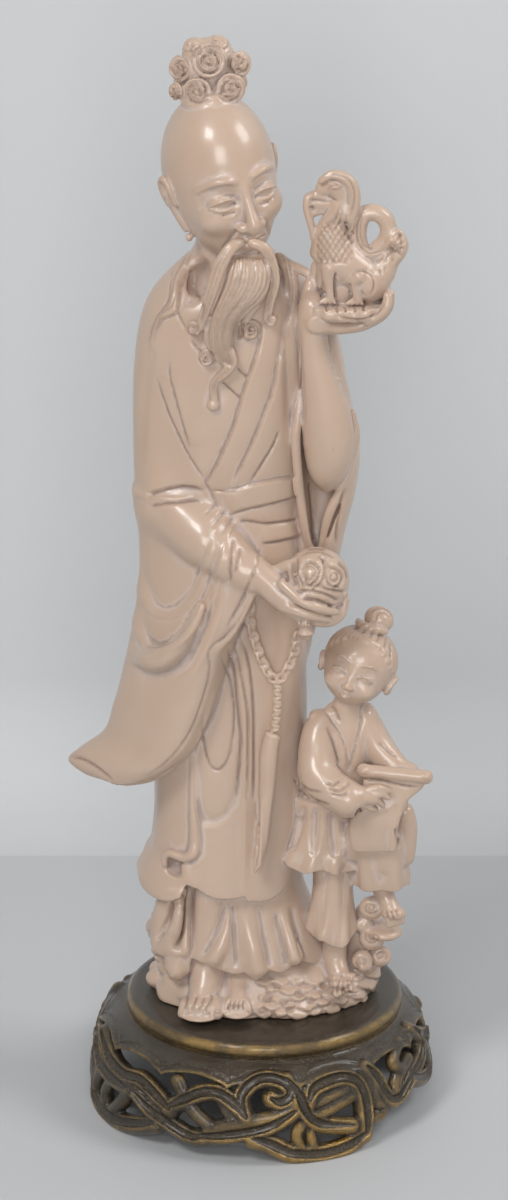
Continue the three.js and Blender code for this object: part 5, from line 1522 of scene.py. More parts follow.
sageFoot = {
    "leg": [(-18.2, -11, 54, 6.0), (-18.4, -13.4, 49, 6.0), (-19, -17, 45, 5.4), (-20, -20.5, 42.4, 4.4)],
    "ball": (-20.6, -22.3, 40.8),
    "ballSize": (6.8, 6.8, 3.2),
    "roots": [(-25.4, -20.4, 41.4), (-16.2, -20, 42.4)],
    "tips": [(-26.8, -27.2, 39.7), (-15.2, -28.4, 40.1)],
    "thick": 1.62,
    "heel": (-18, -13, 43),
    "sole": [(-20.8, -24.6, 38.9), (6.9, 6.7, 1.4)],
}
hiddenFoot = {
    "leg": [(-8, -13, 50, 4.0), (-8.2, -17, 46, 3.8), (-8.6, -22, 43.2, 3.0)],
    "ball": (-8.8, -23, 42.2),
    "ballSize": (4.6, 4.6, 2.4),
    "roots": [(-12.2, -23.2, 42), (-5.8, -23, 42)],
    "tips": [(-12.6, -27.4, 40.3), (-5.2, -27.2, 40.3)],
    "thick": 1.15,
    "heel": (-8, -14, 44),
    "sole": [(-8.9, -24.6, 39.4), (5.2, 5.4, 1.3)],
}


def makeCloud():
    def ripple(turn, z, along):
        return 0.5 * np.cos(14 * turn) + 0.4 * np.sin(9 * turn + z)

    loft(cloud["mound"], 0.6, 2.1, ripple, soften=1.0)
    bar(cloud["tower"], 1.5)
    egg(cloud["step"], (6.2, 6.4, 2.4), None, 1.0)  # under the boy's raised foot
    for u, v, y, radius in cloud["scrolls"]:
        egg(placed([(u, v, y)])[0], (radius * 1.1, radius * 0.9, radius * 1.1), None, 0.6)
    for turn in np.radians(np.arange(-55, 236, 17.0)):  # curled puffs round the sides and back
        if math.sin(turn) < -0.3:
            continue
        for level, shift, (left, depth, right, half) in cloud["puffs"]:
            out = np.array((math.cos(turn + shift), math.sin(turn + shift), 0.45))
            x = (left + right) / 2 + (right - left) / 2 * out[0]
            spot = np.array((x, depth + half * out[1], level))
            egg(spot - out * 1.6, (3.9, 3.9, 3.1), None, 0.6)
            way = 1 if int(turn * 9) % 2 else -1
            curl(spot + out * 0.5, out, 2.7, 0.55, 1.6, 0.2 + turn, way, 0.2)
    for foot in (sageFoot, hiddenFoot):
        makeFoot(**foot)


# Marks pressed into the finished skin: each row is a tool (kind, width, depth and a step's fall in
# millimetres) and the lines it cuts, in picture pixels
carvedLines = {
    "sleeve": [
        (
            ("step", 0.9, 1.2, 5),
            [(148, 501), (150, 494), (160, 490), (172, 487), (184, 485), (195, 486), (205, 490)],
        ),
        (("line", 0.5, 0.9), [(148, 503), (151, 506), (165, 504), (180, 502), (195, 500), (202, 503)]),
        (
            ("fold", 1.5, 0.65),
            [
                (220, 514), (212, 526), (207, 546), (198, 570), (188, 592), (172, 606), (158, 605),
                (150, 592), (145, 576), (142, 556),
            ],
        ),
        (
            ("fold", 1.3, 0.8),
            [
                (222, 520), (218, 538), (212, 560), (204, 590), (192, 616), (178, 634), (164, 642),
                (152, 640), (144, 628), (140, 606),
            ],
        ),
        (
            ("fold", 1.5, 0.6),
            [
                (228, 530), (220, 550), (215, 564), (212, 592), (208, 618), (198, 646), (188, 664),
                (174, 677),
            ],
        ),
        (("line", 0.5, 0.7), [(234, 538), (231, 560), (230, 584)]),
        (("line", 0.5, 0.6), [(241, 548), (238, 560), (234, 574)]),
        (("line", 0.4, 0.5), [(260, 548), (257, 564), (248, 586), (238, 608), (226, 628)]),
        (
            ("roll", 0.7, 0.4),
            [(208, 524), (214, 516), (221, 508)], [(215, 531), (222, 523), (229, 514)],
            [(224, 538), (231, 529), (238, 520)],
        ),
        (
            ("line", 0.36, 0.35),
            [(204, 516), (211, 509), (218, 501)], [(212, 527), (218, 520), (225, 511)],
            [(220, 535), (226, 528), (233, 518)],
        ),
        (
            ("line", 0.36, 0.45),
            [
                (250, 600), (238, 620), (226, 636), (209, 650), (210, 664), (208, 682), (200, 708),
                (192, 728), (181, 746), (166, 763), (150, 774), (136, 778),
            ],
        ),
        (("line", 0.5, 0.9), [(70, 756), (82, 759), (94, 766), (104, 774), (113, 782)]),
        (("soft", 1.6, 0.5), [(152, 342), (148, 365), (144, 400), (142, 430), (140, 470)]),
    ],
    "chest": [
        (("soft", 2.2, 1.2), [(192, 266), (190, 280), (189, 296), (191, 306)]),
        (
            ("step", 0.6, 1.0, 2.6),
            [
                (152, 344), (156, 334), (160, 323), (167, 317), (177, 312), (179, 300), (181, 284),
                (187, 270), (197, 257),
            ],
        ),
        (
            ("step", 0.6, 0.8, 2.6),
            [
                (190, 250), (175, 270), (172, 286), (170, 300), (162, 312), (156, 324), (151, 340),
                (147, 352),
            ],
        ),
        (
            ("line", 0.42, 0.6),
            [(194, 282), (199, 296), (203, 310), (200, 325)], [(177, 312), (182, 322), (187, 332)],
            [(190, 340), (196, 347), (202, 353)],
        ),
        (("line", 0.4, 0.6), [(236, 367), (242, 373), (248, 378)], [(221, 381), (231, 390), (241, 399)]),
        (
            ("step", 0.7, 0.9, 6),
            [(157, 377), (162, 390), (170, 413), (180, 435), (190, 455), (200, 470), (207, 480)],
        ),
        (("step", 0.7, 0.8, 5), [(170, 360), (171, 375), (176, 392), (182, 415), (188, 435), (192, 447)]),
        (
            ("step", 0.7, 1.0, 7),
            [
                (264, 325), (259, 345), (254, 362), (248, 378), (241, 400), (234, 425), (228, 440),
                (220, 458), (212, 474), (207, 482), (211, 490), (216, 500), (222, 512),
            ],
            [
                (283, 335), (281, 350), (276, 370), (272, 392), (266, 408), (258, 428), (250, 448),
                (240, 468), (232, 486),
            ],
        ),
        (("line", 0.45, 0.8), [(279, 430), (272, 447), (262, 463), (250, 482)]),
        (("step", 0.6, 0.9, 5), [(299, 476), (278, 479), (250, 484), (240, 488), (222, 490)]),
        (("line", 0.4, 0.5), [(210, 489), (230, 491), (240, 489)]),
        (("step", 0.6, 0.9, 5), [(228, 514), (240, 510), (252, 507), (270, 503), (299, 495)]),
        (("line", 0.5, 0.9), [(239, 520), (250, 522), (270, 524), (299, 519)]),
        (("step", 0.7, 0.9, 4), [(262, 543), (280, 540), (295, 536), (302, 532)]),
        (("soft", 1.6, 0.8), [(288, 300), (285, 340), (288, 390), (292, 430)]),
    ],
    "gown": [
        (
            ("line", 0.42, 0.6),
            [
                (220, 654), (230, 680), (234, 710), (233.6, 730), (230, 752), (225, 764), (218, 770),
                (211, 766), (206, 754), (203, 734), (203.6, 714),
            ],
        ),
        (
            ("soft", 1.6, 0.6),
            [
                (231, 650), (236, 700), (240, 750), (240, 780), (236, 800), (226, 816), (212, 822),
                (201, 814), (194, 795), (192, 745),
            ],
        ),
        (
            ("line", 0.5, 0.8),
            [(228, 646), (234, 670), (237, 700), (239, 720), (241, 740), (239, 770), (236, 798)],
        ),
        (
            ("line", 0.5, 0.9),
            [(234, 640), (240, 670), (245, 696), (248, 720), (248, 760), (246, 802)],
            [(239, 634), (248, 660), (253, 696), (254, 740), (254, 802)],
        ),
        (("roll", 1.2, 0.5), [(231, 636), (240, 668), (243, 700), (245, 740), (245, 800), (244, 896)]),
        (("roll", 1.3, 0.5), [(236, 630), (247, 664), (250, 700), (251, 740), (250, 796)]),
        (("fold", 0.7, 1.0), [(258, 796), (258, 810), (257, 835), (256, 855), (253, 876)]),
    ],
    "underRobe": [
        (("step", 0.8, 1.4, 10), [(189, 958), (190, 930), (190, 902), (189, 888)]),
        (("line", 0.8, 1.4), [(184, 892), (184, 912), (181, 934), (174, 950)]),
        (("soft", 1.1, 1.2), [(175, 900), (171, 918), (163, 932), (156, 940)]),
        (("soft", 1.0, 1.1), [(232, 903), (234, 930), (236, 968)]),
        (("soft", 1.1, 0.7), [(226, 905), (219, 926), (210, 944), (201, 958)]),
        (("soft", 1.2, 0.9), [(258, 906), (263, 930), (268, 952), (270, 968)]),
        (("soft", 1.0, 1.0), [(276, 912), (281, 940), (287, 966)]),
        (("soft", 1.0, 0.8), [(292, 905), (298, 935), (303, 962)]),
    ],
    "boyHair": [
        (
            ("line", 0.32, 0.4),
            [(354, 630), (362, 624), (370, 621)], [(361, 634), (367, 628), (372, 625)],
            [(369, 638), (373, 632), (376, 629)], [(377, 642), (379, 636), (381, 632)],
            [(384, 649), (386, 642), (386, 636)], [(390, 659), (391, 650), (390, 642)],
        ),
        (
            ("line", 0.36, 0.6),
            [(369, 614), (374, 609), (382, 607), (390, 611), (394, 618)],
            [(374, 621), (378, 614), (385, 612), (391, 618)],
        ),
    ],
    "boyCloth": [
        (("line", 0.42, 0.7), [(330, 704), (336, 712), (340, 722)]),
        (("step", 0.5, 0.8, 3), [(347, 772), (345, 750), (338, 733), (330, 720), (322, 710)]),
        (("step", 0.5, 0.8, 4), [(362, 710), (361, 722), (357, 740), (353, 756), (350, 772)]),
        (("line", 0.4, 0.5), [(326, 726), (333, 744), (339, 764)]),
        (
            ("line", 0.42, 0.7),
            [(293, 778), (300, 785), (310, 791), (322, 792)],
            [(298, 789), (310, 798), (322, 803), (330, 805)], [(325, 782), (333, 785), (340, 779)],
            [(327, 788), (338, 791), (347, 785), (350, 780)],
        ),
        (("line", 0.42, 0.6), [(330, 794), (342, 796), (349, 791)]),
        (
            ("soft", 1.2, 1.1),
            [(303, 806), (299, 830), (290, 852)], [(316, 808), (315, 832), (313, 856)],
            [(331, 812), (332, 836), (335, 858)],
        ),
        (("soft", 0.9, 0.6), [(343, 820), (345, 838), (347, 858)]),
        (("soft", 1.3, 0.7), [(327, 866), (323, 900), (320, 934)], [(343, 866), (344, 900), (341, 942)]),
        (("line", 0.45, 0.7), [(378, 742), (386, 750), (396, 757)]),
        (("line", 0.42, 0.7), [(362, 779), (381, 781), (400, 785), (420, 788)]),
        (("line", 0.6, 1.2), [(396, 828), (397, 834), (399, 840), (399, 848)]),
    ],
    "raisedArm": [
        (("soft", 0.8, 0.7), [(299, 330), (301, 380), (303, 426)]),
        (("soft", 1.2, 0.8), [(330, 348), (338, 374), (348, 398)]),
        (("line", 0.5, 0.7), [(309, 480), (312, 510), (314, 545)], [(346, 488), (339, 510), (336, 545)]),
    ],
    "beastFace": [
        (
            ("line", 0.3, 0.6),
            [
                (325, 175), (335, 174), (343, 176), (349, 180), (352.5, 186), (354.5, 193), (354, 201),
                (352, 210), (351, 218),
            ],
        ),
        (("line", 0.32, 0.6), [(309, 199.5), (314, 200), (320, 200.5), (326, 201), (333, 202)]),
        (("line", 0.28, 0.5), [(326, 191), (330, 187), (334, 184), (338, 184), (341, 186)]),
        (("line", 0.3, 0.5), [(308, 208), (312, 207), (314, 208.5), (312.5, 210)]),
        (("line", 0.28, 0.5), [(328, 196), (333, 199), (338, 201)]),
        (
            ("line", 0.3, 0.35),
            [(340, 203), (341, 212), (340, 220), (341, 226)],
            [(346, 205), (343, 212), (342, 218), (345, 226), (349, 231)],
            [(349, 207), (346, 215), (347, 224), (350, 231)],
        ),
        (
            ("line", 0.3, 0.5),
            [(339, 203), (337, 213), (331, 221), (324, 227), (318, 230)],
            [(339, 212), (333, 222), (326, 228)], [(341, 222), (335, 229), (327, 234)],
        ),
        (
            ("line", 0.35, 0.7),
            [
                (361, 213), (358, 220), (357, 230), (358, 240), (362, 248), (368, 252), (375, 253),
                (381, 251), (386, 246),
            ],
        ),
        (("line", 0.3, 0.5), [(363, 217), (361, 224), (360.5, 232), (362, 240), (366, 246), (374, 248)]),
        (
            ("line", 0.35, 0.7),
            [
                (350, 278), (353, 273), (358, 270.5), (364, 270.5), (369, 273), (373, 278), (374.5, 285),
                (373, 291), (369, 296),
            ],
        ),
        (("line", 0.3, 0.5), [(361, 289), (363, 294), (367, 296)]),
        (
            ("line", 0.35, 0.8),
            [(336, 272), (335, 284), (336, 299)], [(349, 283), (350, 290), (351.5, 298)],
            [(321, 280), (321, 290), (322, 298)],
        ),
        (
            ("line", 0.32, 0.6),
            [(397, 232), (401, 237), (402, 243), (401, 250), (396, 256)],
            [(384, 262), (387, 258), (391, 252), (392, 248)],
        ),
        (
            ("line", 0.3, 0.6),
            [(402, 234), (396, 241)], [(405, 241), (399, 245)], [(405, 248), (399, 249)],
            [(401, 256), (396, 252)], [(394, 263), (391, 256)],
        ),
        (("line", 0.3, 0.5), [(378, 268), (382, 276)], [(384, 264), (386, 272)], [(376, 262), (384, 258)]),
    ],
    "leafAndHand": [
        (
            ("line", 0.35, 0.8),
            [(326, 306), (326.5, 312)], [(336, 306), (336.5, 313)], [(345, 306), (345.5, 313)],
            [(355, 306), (355.5, 313)], [(363, 305), (363.5, 311)],
        ),
        (
            ("line", 0.4, 0.8),
            [
                (336, 316), (344, 318), (352, 320), (360, 320), (367, 319), (374, 315), (380, 309),
                (384, 304),
            ],
        ),
    ],
    "ball": [
        (("line", 0.45, 1.0), [(301, 570), (309, 561), (320, 571), (309, 587), (301, 570)]),
        (
            ("line", 0.45, 0.9),
            [(318, 554), (325, 566), (323, 580), (314, 590)], [(297, 557), (297, 572), (303, 588)],
        ),
        (("line", 0.4, 0.8), [(291, 563), (291, 575), (296, 587)], [(285, 570), (288, 582)]),
        (
            ("line", 0.45, 0.9),
            [
                (326, 558), (329, 567), (336, 568), (343, 576), (339, 586), (331, 586), (327, 577),
                (329, 567),
            ],
            [(320, 584), (325, 589), (334, 591), (346, 592)],
        ),
        (("line", 0.4, 0.8), [(338, 562), (346, 570), (348, 580)]),
        (("line", 0.45, 1.0), [(296, 591), (312, 592), (326, 595), (340, 602)]),
        (
            ("line", 0.4, 0.8),
            [(300, 598), (316, 600), (334, 607)], [(300, 555), (310, 551), (322, 551), (336, 558)],
        ),
        (("line", 0.4, 0.7), [(306, 549), (316, 547), (326, 549)]),
        (("line", 0.36, 0.8), [(304, 571), (309, 565), (316, 571), (309, 580), (304, 571)]),
        (("line", 0.36, 0.7), [(312, 592), (316, 586), (321, 588)], [(294, 560), (294, 574), (299, 588)]),
        (("line", 0.36, 0.8), [(333, 573), (338, 574), (338, 580), (333, 581), (331, 577), (333, 573)]),
        (
            ("line", 0.4, 0.8),
            [(300, 621), (300, 627)], [(304, 622), (304, 628)], [(308, 622), (308, 628)],
            [(312, 621), (312, 627)],
        ),
    ],
}
toeGaps = [
    [(188, 995), (186, 1002), (184, 1009)], [(197, 995), (194, 1003), (190, 1011)],
    [(205, 995), (202, 1004), (198, 1013)], [(213, 994), (210, 1003), (205, 1012)],
    [(339, 978), (338, 986), (337, 995)], [(343, 978), (343, 986), (343, 995)],
    [(347, 977), (348, 986), (349, 994)], [(351, 976), (353, 984), (354, 992)], [(385, 910), (388, 920)],
    [(390, 909), (394, 921)], [(395, 908), (399, 918)],
]
toeGaps += [[(230 + shift, 999), (229 + shift, 1004), (228 + shift, 1010)] for shift in (0, 5, 10, 15)]
shingles = [[(150, 948), (154, 958), (162, 962)], [(168, 976), (176, 982), (185, 980)]]
# scalloped plates in staggered rows over the cloud
for row, level in enumerate((984, 992, 1000, 1008, 1016)):
    for middle in range(264 + 8 * (row % 2), 382, 17):
        drift = 3 * math.sin(middle * 1.7 + row)
        sag, wide = level - 0.0022 * (middle - 285) ** 2 + drift * 0.6, 9 + drift
        across = (-wide, -5, drift, 5, wide)
        shingles.append([(middle + u, sag + v) for u, v in zip(across, (-3, 1, 2.6, 1, -3))])
carvedLines["toes"] = [(("line", 0.34, 0.8), *toeGaps)]
carvedLines["plates"] = [(("step", 0.5, 0.8, 2), *shingles)]
beardHollows = [
    # the wide line beside the neck carves the hollow and lays painted shade into it
    (("line", 2.6, 1.0), [(207, 258), (199, 268), (194, 282), (190, 292)]),  # beside the neck
    (("line", 0.9, 0.6), [(243, 322), (240, 331), (240, 340)]),
]
# painted shadow: these spots darken the resin over the hollow beside the beard
painted_shadows = [(193, 281, 7.5, 17)]  # picture x and y, half width and height of a dark hollow beside the beard
scaleCuts = {
    "count": 9, "pitch": 6.6, "top": 222, "foot": 264, "downRight": (292, 322), "downLeft": (374, 344),
}
snails = [
    # width, depth, share of height, then picture x, picture y, radius in pixels, turns, start, way
    (  # over the cloud
        0.34, 0.55, 0.8,
        (268, 998, 5, 1.8, 0.2, 1), (300, 994, 5, 1.8, 0.6, -1), (284, 1002, 4.5, 1.8, 0.4, 1),
        (310, 1000, 4.5, 1.8, 0.1, 1), (262, 1010, 4, 1.8, 0.5, -1), (290, 1010, 4, 1.8, 0.3, 1),
        (276, 986, 4, 1.8, 0.7, 1), (322, 986, 4.5, 1.8, 0.2, -1), (334, 1003, 4, 1.8, 0.1, 1),
        (350, 995, 4.5, 1.8, 0.6, -1), (371, 908, 8, 1.8, 0.1, 1), (372, 938, 8.5, 1.8, 0.6, -1),
        (362, 962, 7, 1.8, 0.3, 1), (381, 956, 7, 1.8, 0.1, -1),
    ),
    (  # the topknot's curls
        0.4, 0.6, 1.0,
        (197, 91, 12.5, 3.2, 0.1, 1), (229, 88, 13.5, 3.4, 0.4, -1), (209, 61, 14.5, 3.3, 0.7, 1),
        (180, 68, 9.5, 2.6, 0.5, -1), (238, 64, 10.5, 2.6, 0.0, 1), (196, 50, 6.5, 1.8, 0.3, 1),
        (216, 48, 7, 1.8, 0.8, -1), (177, 93, 6.5, 2.0, 0.2, 1),
    ),
    (  # the fan of the beast's tail
        0.32, 0.6, 1.0,
        (393, 246.5, 6, 1.8, 0.3, -1),
    ),
    (  # the beard's locks
        0.38, 0.55, 1.0,
        (193, 329, 7, 2.0, 0.2, 1), (271, 321, 4.5, 1.6, 0.7, -1), (207, 358, 7.5, 2.2, 0.4, 1),
        (251, 330, 9.5, 2.4, 0.6, -1),
    ),
]
backLines = [
    # drawn as the camera would see the figure from straight behind
    (
        ("fold", 1.6, 1.0),
        [(254, 350), (258, 450), (250, 560), (256, 690), (250, 860)],
        [(300, 380), (312, 470), (306, 600), (316, 740), (310, 860)],
        [(216, 380), (206, 470), (212, 600), (204, 740), (210, 860)],
    ),
    (("fold", 1.5, 1.0), [(340, 420), (352, 520), (346, 640), (352, 760)]),
    (
        ("fold", 1.2, 0.8),
        [(278, 520), (286, 640), (280, 760), (286, 860)], [(232, 560), (226, 680), (232, 800), (228, 870)],
    ),
    (("fold", 1.2, 0.9), [(322, 300), (296, 322), (262, 326), (230, 312)]),
    (
        ("step", 0.8, 0.8, 6),
        [(330, 470), (300, 480), (260, 482), (216, 474)], [(214, 508), (260, 518), (300, 516), (330, 506)],
    ),
    (
        ("fold", 1.0, 1.0),
        [(240, 900), (236, 930), (232, 960)], [(270, 900), (272, 930), (268, 962)],
        [(300, 900), (304, 930), (308, 960)],
    ),
]


def beastScales(u, v):
    return (u > 316) & (u < 353) & (v > 222) & (v < 264) & (u - 316 > (236 - v) * 0.5)


def strokeAll(rows, side="front"):
    for (kind, width, depth, *fall), *lines in rows:
        for line in lines:
            stroke(kind, width, depth, line, *fall, side=side)


def carveBeard():  # flowing strands from the lip to the beard's tail
    left, right = np.array(whiskers["left"]), np.array(whiskers["right"])
    for share in np.linspace(0.05, 0.95, 10):
        stroke("line", 0.3, 0.42, left + (right - left) * share, taper=False)
    for share in (0.3, 0.62):
        stroke("soft", 0.75, 0.5, left + (right - left) * share)
    locks = [(path[1:], (-0.45, 0.3)) for path in whiskers["moustache"]]
    locks += [(path, (-0.35, 0.35)) for path in whiskers["side"]]
    locks += [(whiskers["tail"], (-0.4, 0.4))]
    for path, shares in locks:
        for share in shares:
            stroke("line", 0.3, 0.4, [(u + share * r * 3, v) for u, v, _, r in path])
    strokeAll(beardHollows)


def carveFigure():
    for rows in carvedLines.values():
        strokeAll(rows)
    for width, depth, tall, *rows in snails:
        for row in rows:
            snail(*row, width, depth, tall)
    carveBeard()
    for k in range(scaleCuts["count"]):  # crossed cuts over the beast's chest and neck
        for (top, foot), way in ((scaleCuts["downRight"], 1), (scaleCuts["downLeft"], -1)):
            shift = way * scaleCuts["pitch"] * k
            line = [(top + shift, scaleCuts["top"]), (foot + shift, scaleCuts["foot"])]
            stroke("line", 0.28, 0.4, line, taper=False, within=beastScales)
    strokeAll(backLines, "back")
    # painted shadow over the hollow beside the beard, written into the painted shade values
    shown, seen = carving["front"]
    for u, v, wide, tall in painted_shadows:
        near = np.exp(-(((seen[:, 0] - u) / wide) ** 2) - ((seen[:, 1] - v) / tall) ** 2)
        carving["ink"][shown] = np.maximum(carving["ink"][shown], near)
    carve()


casting = {
    "low": (-67, -42, 35.5),
    "high": (56.5, 30, 361),
    "cell": 0.40,
    "foot": 37.3,
    "faces": 196000,
    "parts": [
        makeRobes, makeLoweredSleeve, makeRaisedSleeve, makeCloud, makeHead, makeTopknot, makeWhiskers,
        makeRaisedHand, makeBeast, makeLoweredHand, makeBeads, makeBoyBody, makeBoyHead, makeScroll,
    ],
}


def makeFigure():
    newClay(casting["low"], casting["high"], casting["cell"])
    for make in casting["parts"]:
        make()
        print("modelled", make.__name__[4:])
    flatFoot = casting["foot"] - clay["axes"][2][None, None, :]
    clay["field"] = np.maximum(clay["field"], flatFoot)
    whole, faces = skinOf()
    points, faces = biggestBody(whole, faces)
    print("figure skin", len(points), "points,", len(whole) - len(points), "loose ones dropped")
    points = relaxed(points, faces, 2)
    readyToCarve(points, faces)
    carveFigure()
    piece = makeMesh("figure", carving["points"], faces, casting["faces"])
    carry(piece, carving["points"], wearOf(carving["points"], faces) | {"ink": carving["ink"]})
    print("figure", len(piece.data.polygons), "faces")
    return piece


# The stand: a round table on a bell of pierced branches
stand = {
    # distance from the middle, height
    "tableEdge": [(43.6, 31), (43.4, 32.4), (43.6, 33.6), (43.4, 35.2), (42.4, 37)],
    "bell": [
        (-2, 54.4), (0, 54.6), (8, 54.8), (15, 54.4), (21, 53.2), (25, 52), (27, 51), (29, 49), (30.4, 47),
        (31.5, 44),
    ],
    "bellShift": -1.0,
    "low": (-61, -61, -1.4),
    "high": (61, 61, 38.4),
    "cell": 0.45,
    "faces": 190000,
    "top": 37,
    "under": 28.6,
    # distance from the middle, height and thickness of the mouldings round the table
    "mouldings": [(42.4, 34.2, 2.7), (44.8, 30.8, 0.9)],
    "shoulderTop": 31.6,
    # lift over the scalloped edge and thickness of its two lips
    "lips": [(0.3, 0.85), (2.2, 0.5)],
    "stout": 1.3,
    "hollowed": 2.15,
    "branches": [
        # thickness, then turns in degrees from the front and heights
        (2.4, (-78, 25), (-66, 21), (-55, 19.5), (-46, 20.5), (-38, 17.6), (-32, 14.6)),
        (2.5, (-33, 15), (-27, 18.8), (-21, 22), (-15, 22.6), (-9, 19.6), (-5, 15.6)),
        (2.3, (-48, 15.5), (-41, 12.2), (-33, 9.6), (-25, 7), (-20, 7.4)),
        (2.2, (-24, 7), (-12, 8.8), (-2, 11), (4, 13), (11, 17)),
        (2.1, (-18, 10.6), (-9, 13.6), (-1, 15), (8, 16.6), (12, 20)),
        (2.4, (-5.5, 16), (-7, 22), (-3, 26.4), (3, 27.4), (9, 25.6), (10, 22.2), (6.5, 20.4), (3.4, 21.6)),
        (2.3, (9, 27), (13, 22), (15, 16.6), (20, 12), (32, 9)),
        (2.6, (16, 20), (19, 24), (28, 25.4), (34.5, 23.2), (37, 18), (37.6, 11), (37, 4.6)),
        (2.6, (37, 5), (31, 2.4), (24, 1.4), (17, 1.6), (10, 2.8), (3, 6.4), (-3, 8.4)),
        (1.7, (17, 18.6), (26, 20.6), (34, 22)),
        (1.7, (18, 14.4), (26, 17), (35, 19.4)),
        (1.5, (15, 13.6), (12, 10), (12.6, 6), (15, 2.6)),
        (1.4, (17, 12), (17.2, 7), (18.4, 3)),
        (2.0, (40, 25), (42, 20), (42.4, 15), (45.6, 12.6), (44.6, 9.8), (38, 9.8)),
        (2.4, (40, 26), (44, 21.6), (48, 14), (54, 12), (62, 15.6), (73, 18.4), (77, 23.4), (72, 28)),
        (1.8, (62, 27.6), (55, 24), (58, 20.4), (64, 21.6)),
        (1.8, (58, 20.6), (54, 16.6), (52, 12.6)),
        (2.2, (77, 24), (84, 19), (86, 12.6), (80, 9.6), (70, 12), (62, 16)),
        (2.3, (-101, 24), (-92, 20), (-86, 21), (-76, 17), (-64, 15.4), (-52, 15.6)),
        (2.6, (-72, 16), (-78, 9), (-79, 3), (-69, 1.4), (-58, 2), (-48, 4.6), (-38, 8)),
        (2.0, (-62, 4.4), (-55, 11), (-50, 18)),
        (2.0, (-80, 6), (-88, 8), (-96, 12.6), (-100, 20)),
        (1.8, (-68, 3), (-68, 9), (-63, 15)),
        (2.0, (-31, 24), (-25, 17), (-18, 12), (-12, 9.4)),
        (1.7, (-14, 21), (-10, 15), (-5, 11)),
    ],
}


def onBell(turn, height, out=0.0):
    turn, height = np.radians(turn), np.asarray(height, float)
    keys, radii = np.array(stand["bell"]).T
    radius = np.interp(height, keys, radii) + out
    return np.stack([radius * np.sin(turn) + stand["bellShift"], -radius * np.cos(turn), height], -1)


def makeStand():
    newClay(stand["low"], stand["high"], stand["cell"])
    x, y, z = clay["axes"][0][:, None, None], clay["axes"][1][None, :, None], clay["axes"][2][None, None, :]
    top, under = stand["top"], stand["under"]
    far = np.sqrt(x * x + y * y)
    reaches, heights = np.array(stand["tableEdge"]).T
    edge = np.interp(z, heights, reaches)
    body = np.maximum(np.maximum(far - edge, z - top), under - z)
    clay["field"] = np.minimum(clay["field"], body.astype(np.float32))
    everywhere = (slice(None),) * 3
    for reach, height, radius in stand["mouldings"]:
        ring = np.sqrt((far - reach) ** 2 + (z - height) ** 2) - radius
        press(everywhere, ring.astype(np.float32), 0.3, False)
    away = np.sqrt((x - stand["bellShift"]) ** 2 + y * y)
    keys, radii = np.array(stand["bell"]).T
    bell = np.interp(z, keys, radii)
    turn = np.arctan2(x - stand["bellShift"], -y)
    scallop = 25.4 + 2.8 * np.abs(np.cos(7 * turn - 0.12)) ** 0.6
    wall = np.maximum(away - bell - 0.9, bell - 2.8 - away)
    shoulder = np.maximum(wall, np.maximum(scallop - z, z - stand["shoulderTop"]))
    press(everywhere, shoulder.astype(np.float32), 0.5, False)
    for lift, radius in stand["lips"]:
        lip = np.sqrt((away - bell - 0.9) ** 2 + (z - scallop - lift) ** 2) - radius
        press(everywhere, lip.astype(np.float32), 0.25, False)
    print("modelled table")
    for cut in (False, True):  # members first, then a hollow along each stout one's upper face
        for half in (0, 180):
            for radius, *line in stand["branches"]:
                turns, heights = np.array(line).T
                thick = radius * stand["stout"]
                if not cut:
                    place = onBell(turns + half, heights, -0.8)
                    bar(np.column_stack([place, np.full(len(line), thick)]), 0.35)
                elif radius > stand["hollowed"]:
                    place = onBell(turns + half, heights + 0.42 * thick, 0.92 * thick - 0.8)
                    size = np.full(len(line), 0.5 * thick)
                    size[[0, -1]] *= 0.4
                    bar(np.column_stack([place, size]), 0.3, cut=True)
    print("modelled branches")
    clay["field"] = np.maximum(clay["field"], (-z).astype(np.float32))
    points, faces = biggestBody(*skinOf())
    points = relaxed(points, faces, 2)
    piece = makeMesh("stand", points, faces, stand["faces"])
    x, y, z = points.T
    around = np.hypot(x, y)
    plain = (around < 42.6) & (z > 36.2)  # the table's flat top
    wear_and_sheen = {name: values * ~plain for name, values in wearOf(points, faces).items()}
    wear_and_sheen["edge"] += 0.36 * ((around > 43.4) & (z > 31.6) & (z < 36.4))  # the rim is rubbed brightest
    # painted sheen: more gold towards the lower front and right, where the light falls, on top of real
    # rubbing
    front_sheen = np.clip((-y - 20) / 30, 0, 1) * np.clip((30 - z) / 20, 0, 1) * np.clip(x / 30 + 0.8, 0, 1)
    wear_and_sheen["edge"] += 0.45 * front_sheen * (wear_and_sheen["hollow"] < 0.2)  # the front foot is rubbed to gold, laid on thicker as painted sheen where the light falls on the front
    carry(piece, points, wear_and_sheen)
    print("stand", len(piece.data.polygons), "faces")
    return piece


# Materials
resinLook = {
    "tone": (0.505, 0.36, 0.265, 1),
    "pale": (0.585, 0.445, 0.35, 1),
    "dust": (0.66, 0.56, 0.52, 1),
    # painted shade for carved grooves and the hollow beside the beard
    "ink": (0.20, 0.125, 0.095, 1),
    # painted shade for the deepest hollows
    "deep_shade": (0.24, 0.155, 0.115, 1),
}
bronzeLook = {
    "patina": (0.024, 0.017, 0.011, 1),
    "grey": (0.095, 0.074, 0.050, 1),
    "gold": (0.45, 0.285, 0.095, 1),
    "dust": (0.27, 0.225, 0.17, 1),
}


def settle(made, **inputs):
    for name, value in inputs.items():
        made.inputs[name.replace("_", " ")].default_value = value
    return made


def node(tree, kind, place, **inputs):
    made = tree.nodes.new(kind)
    made.location = place
    return settle(made, **inputs)


def join(tree, pairs):  # each socket gets a link or a constant
    for socket, value in pairs:
        if isinstance(value, bpy.types.NodeSocket):
            tree.links.new(value, socket)
        else:
            socket.default_value = value


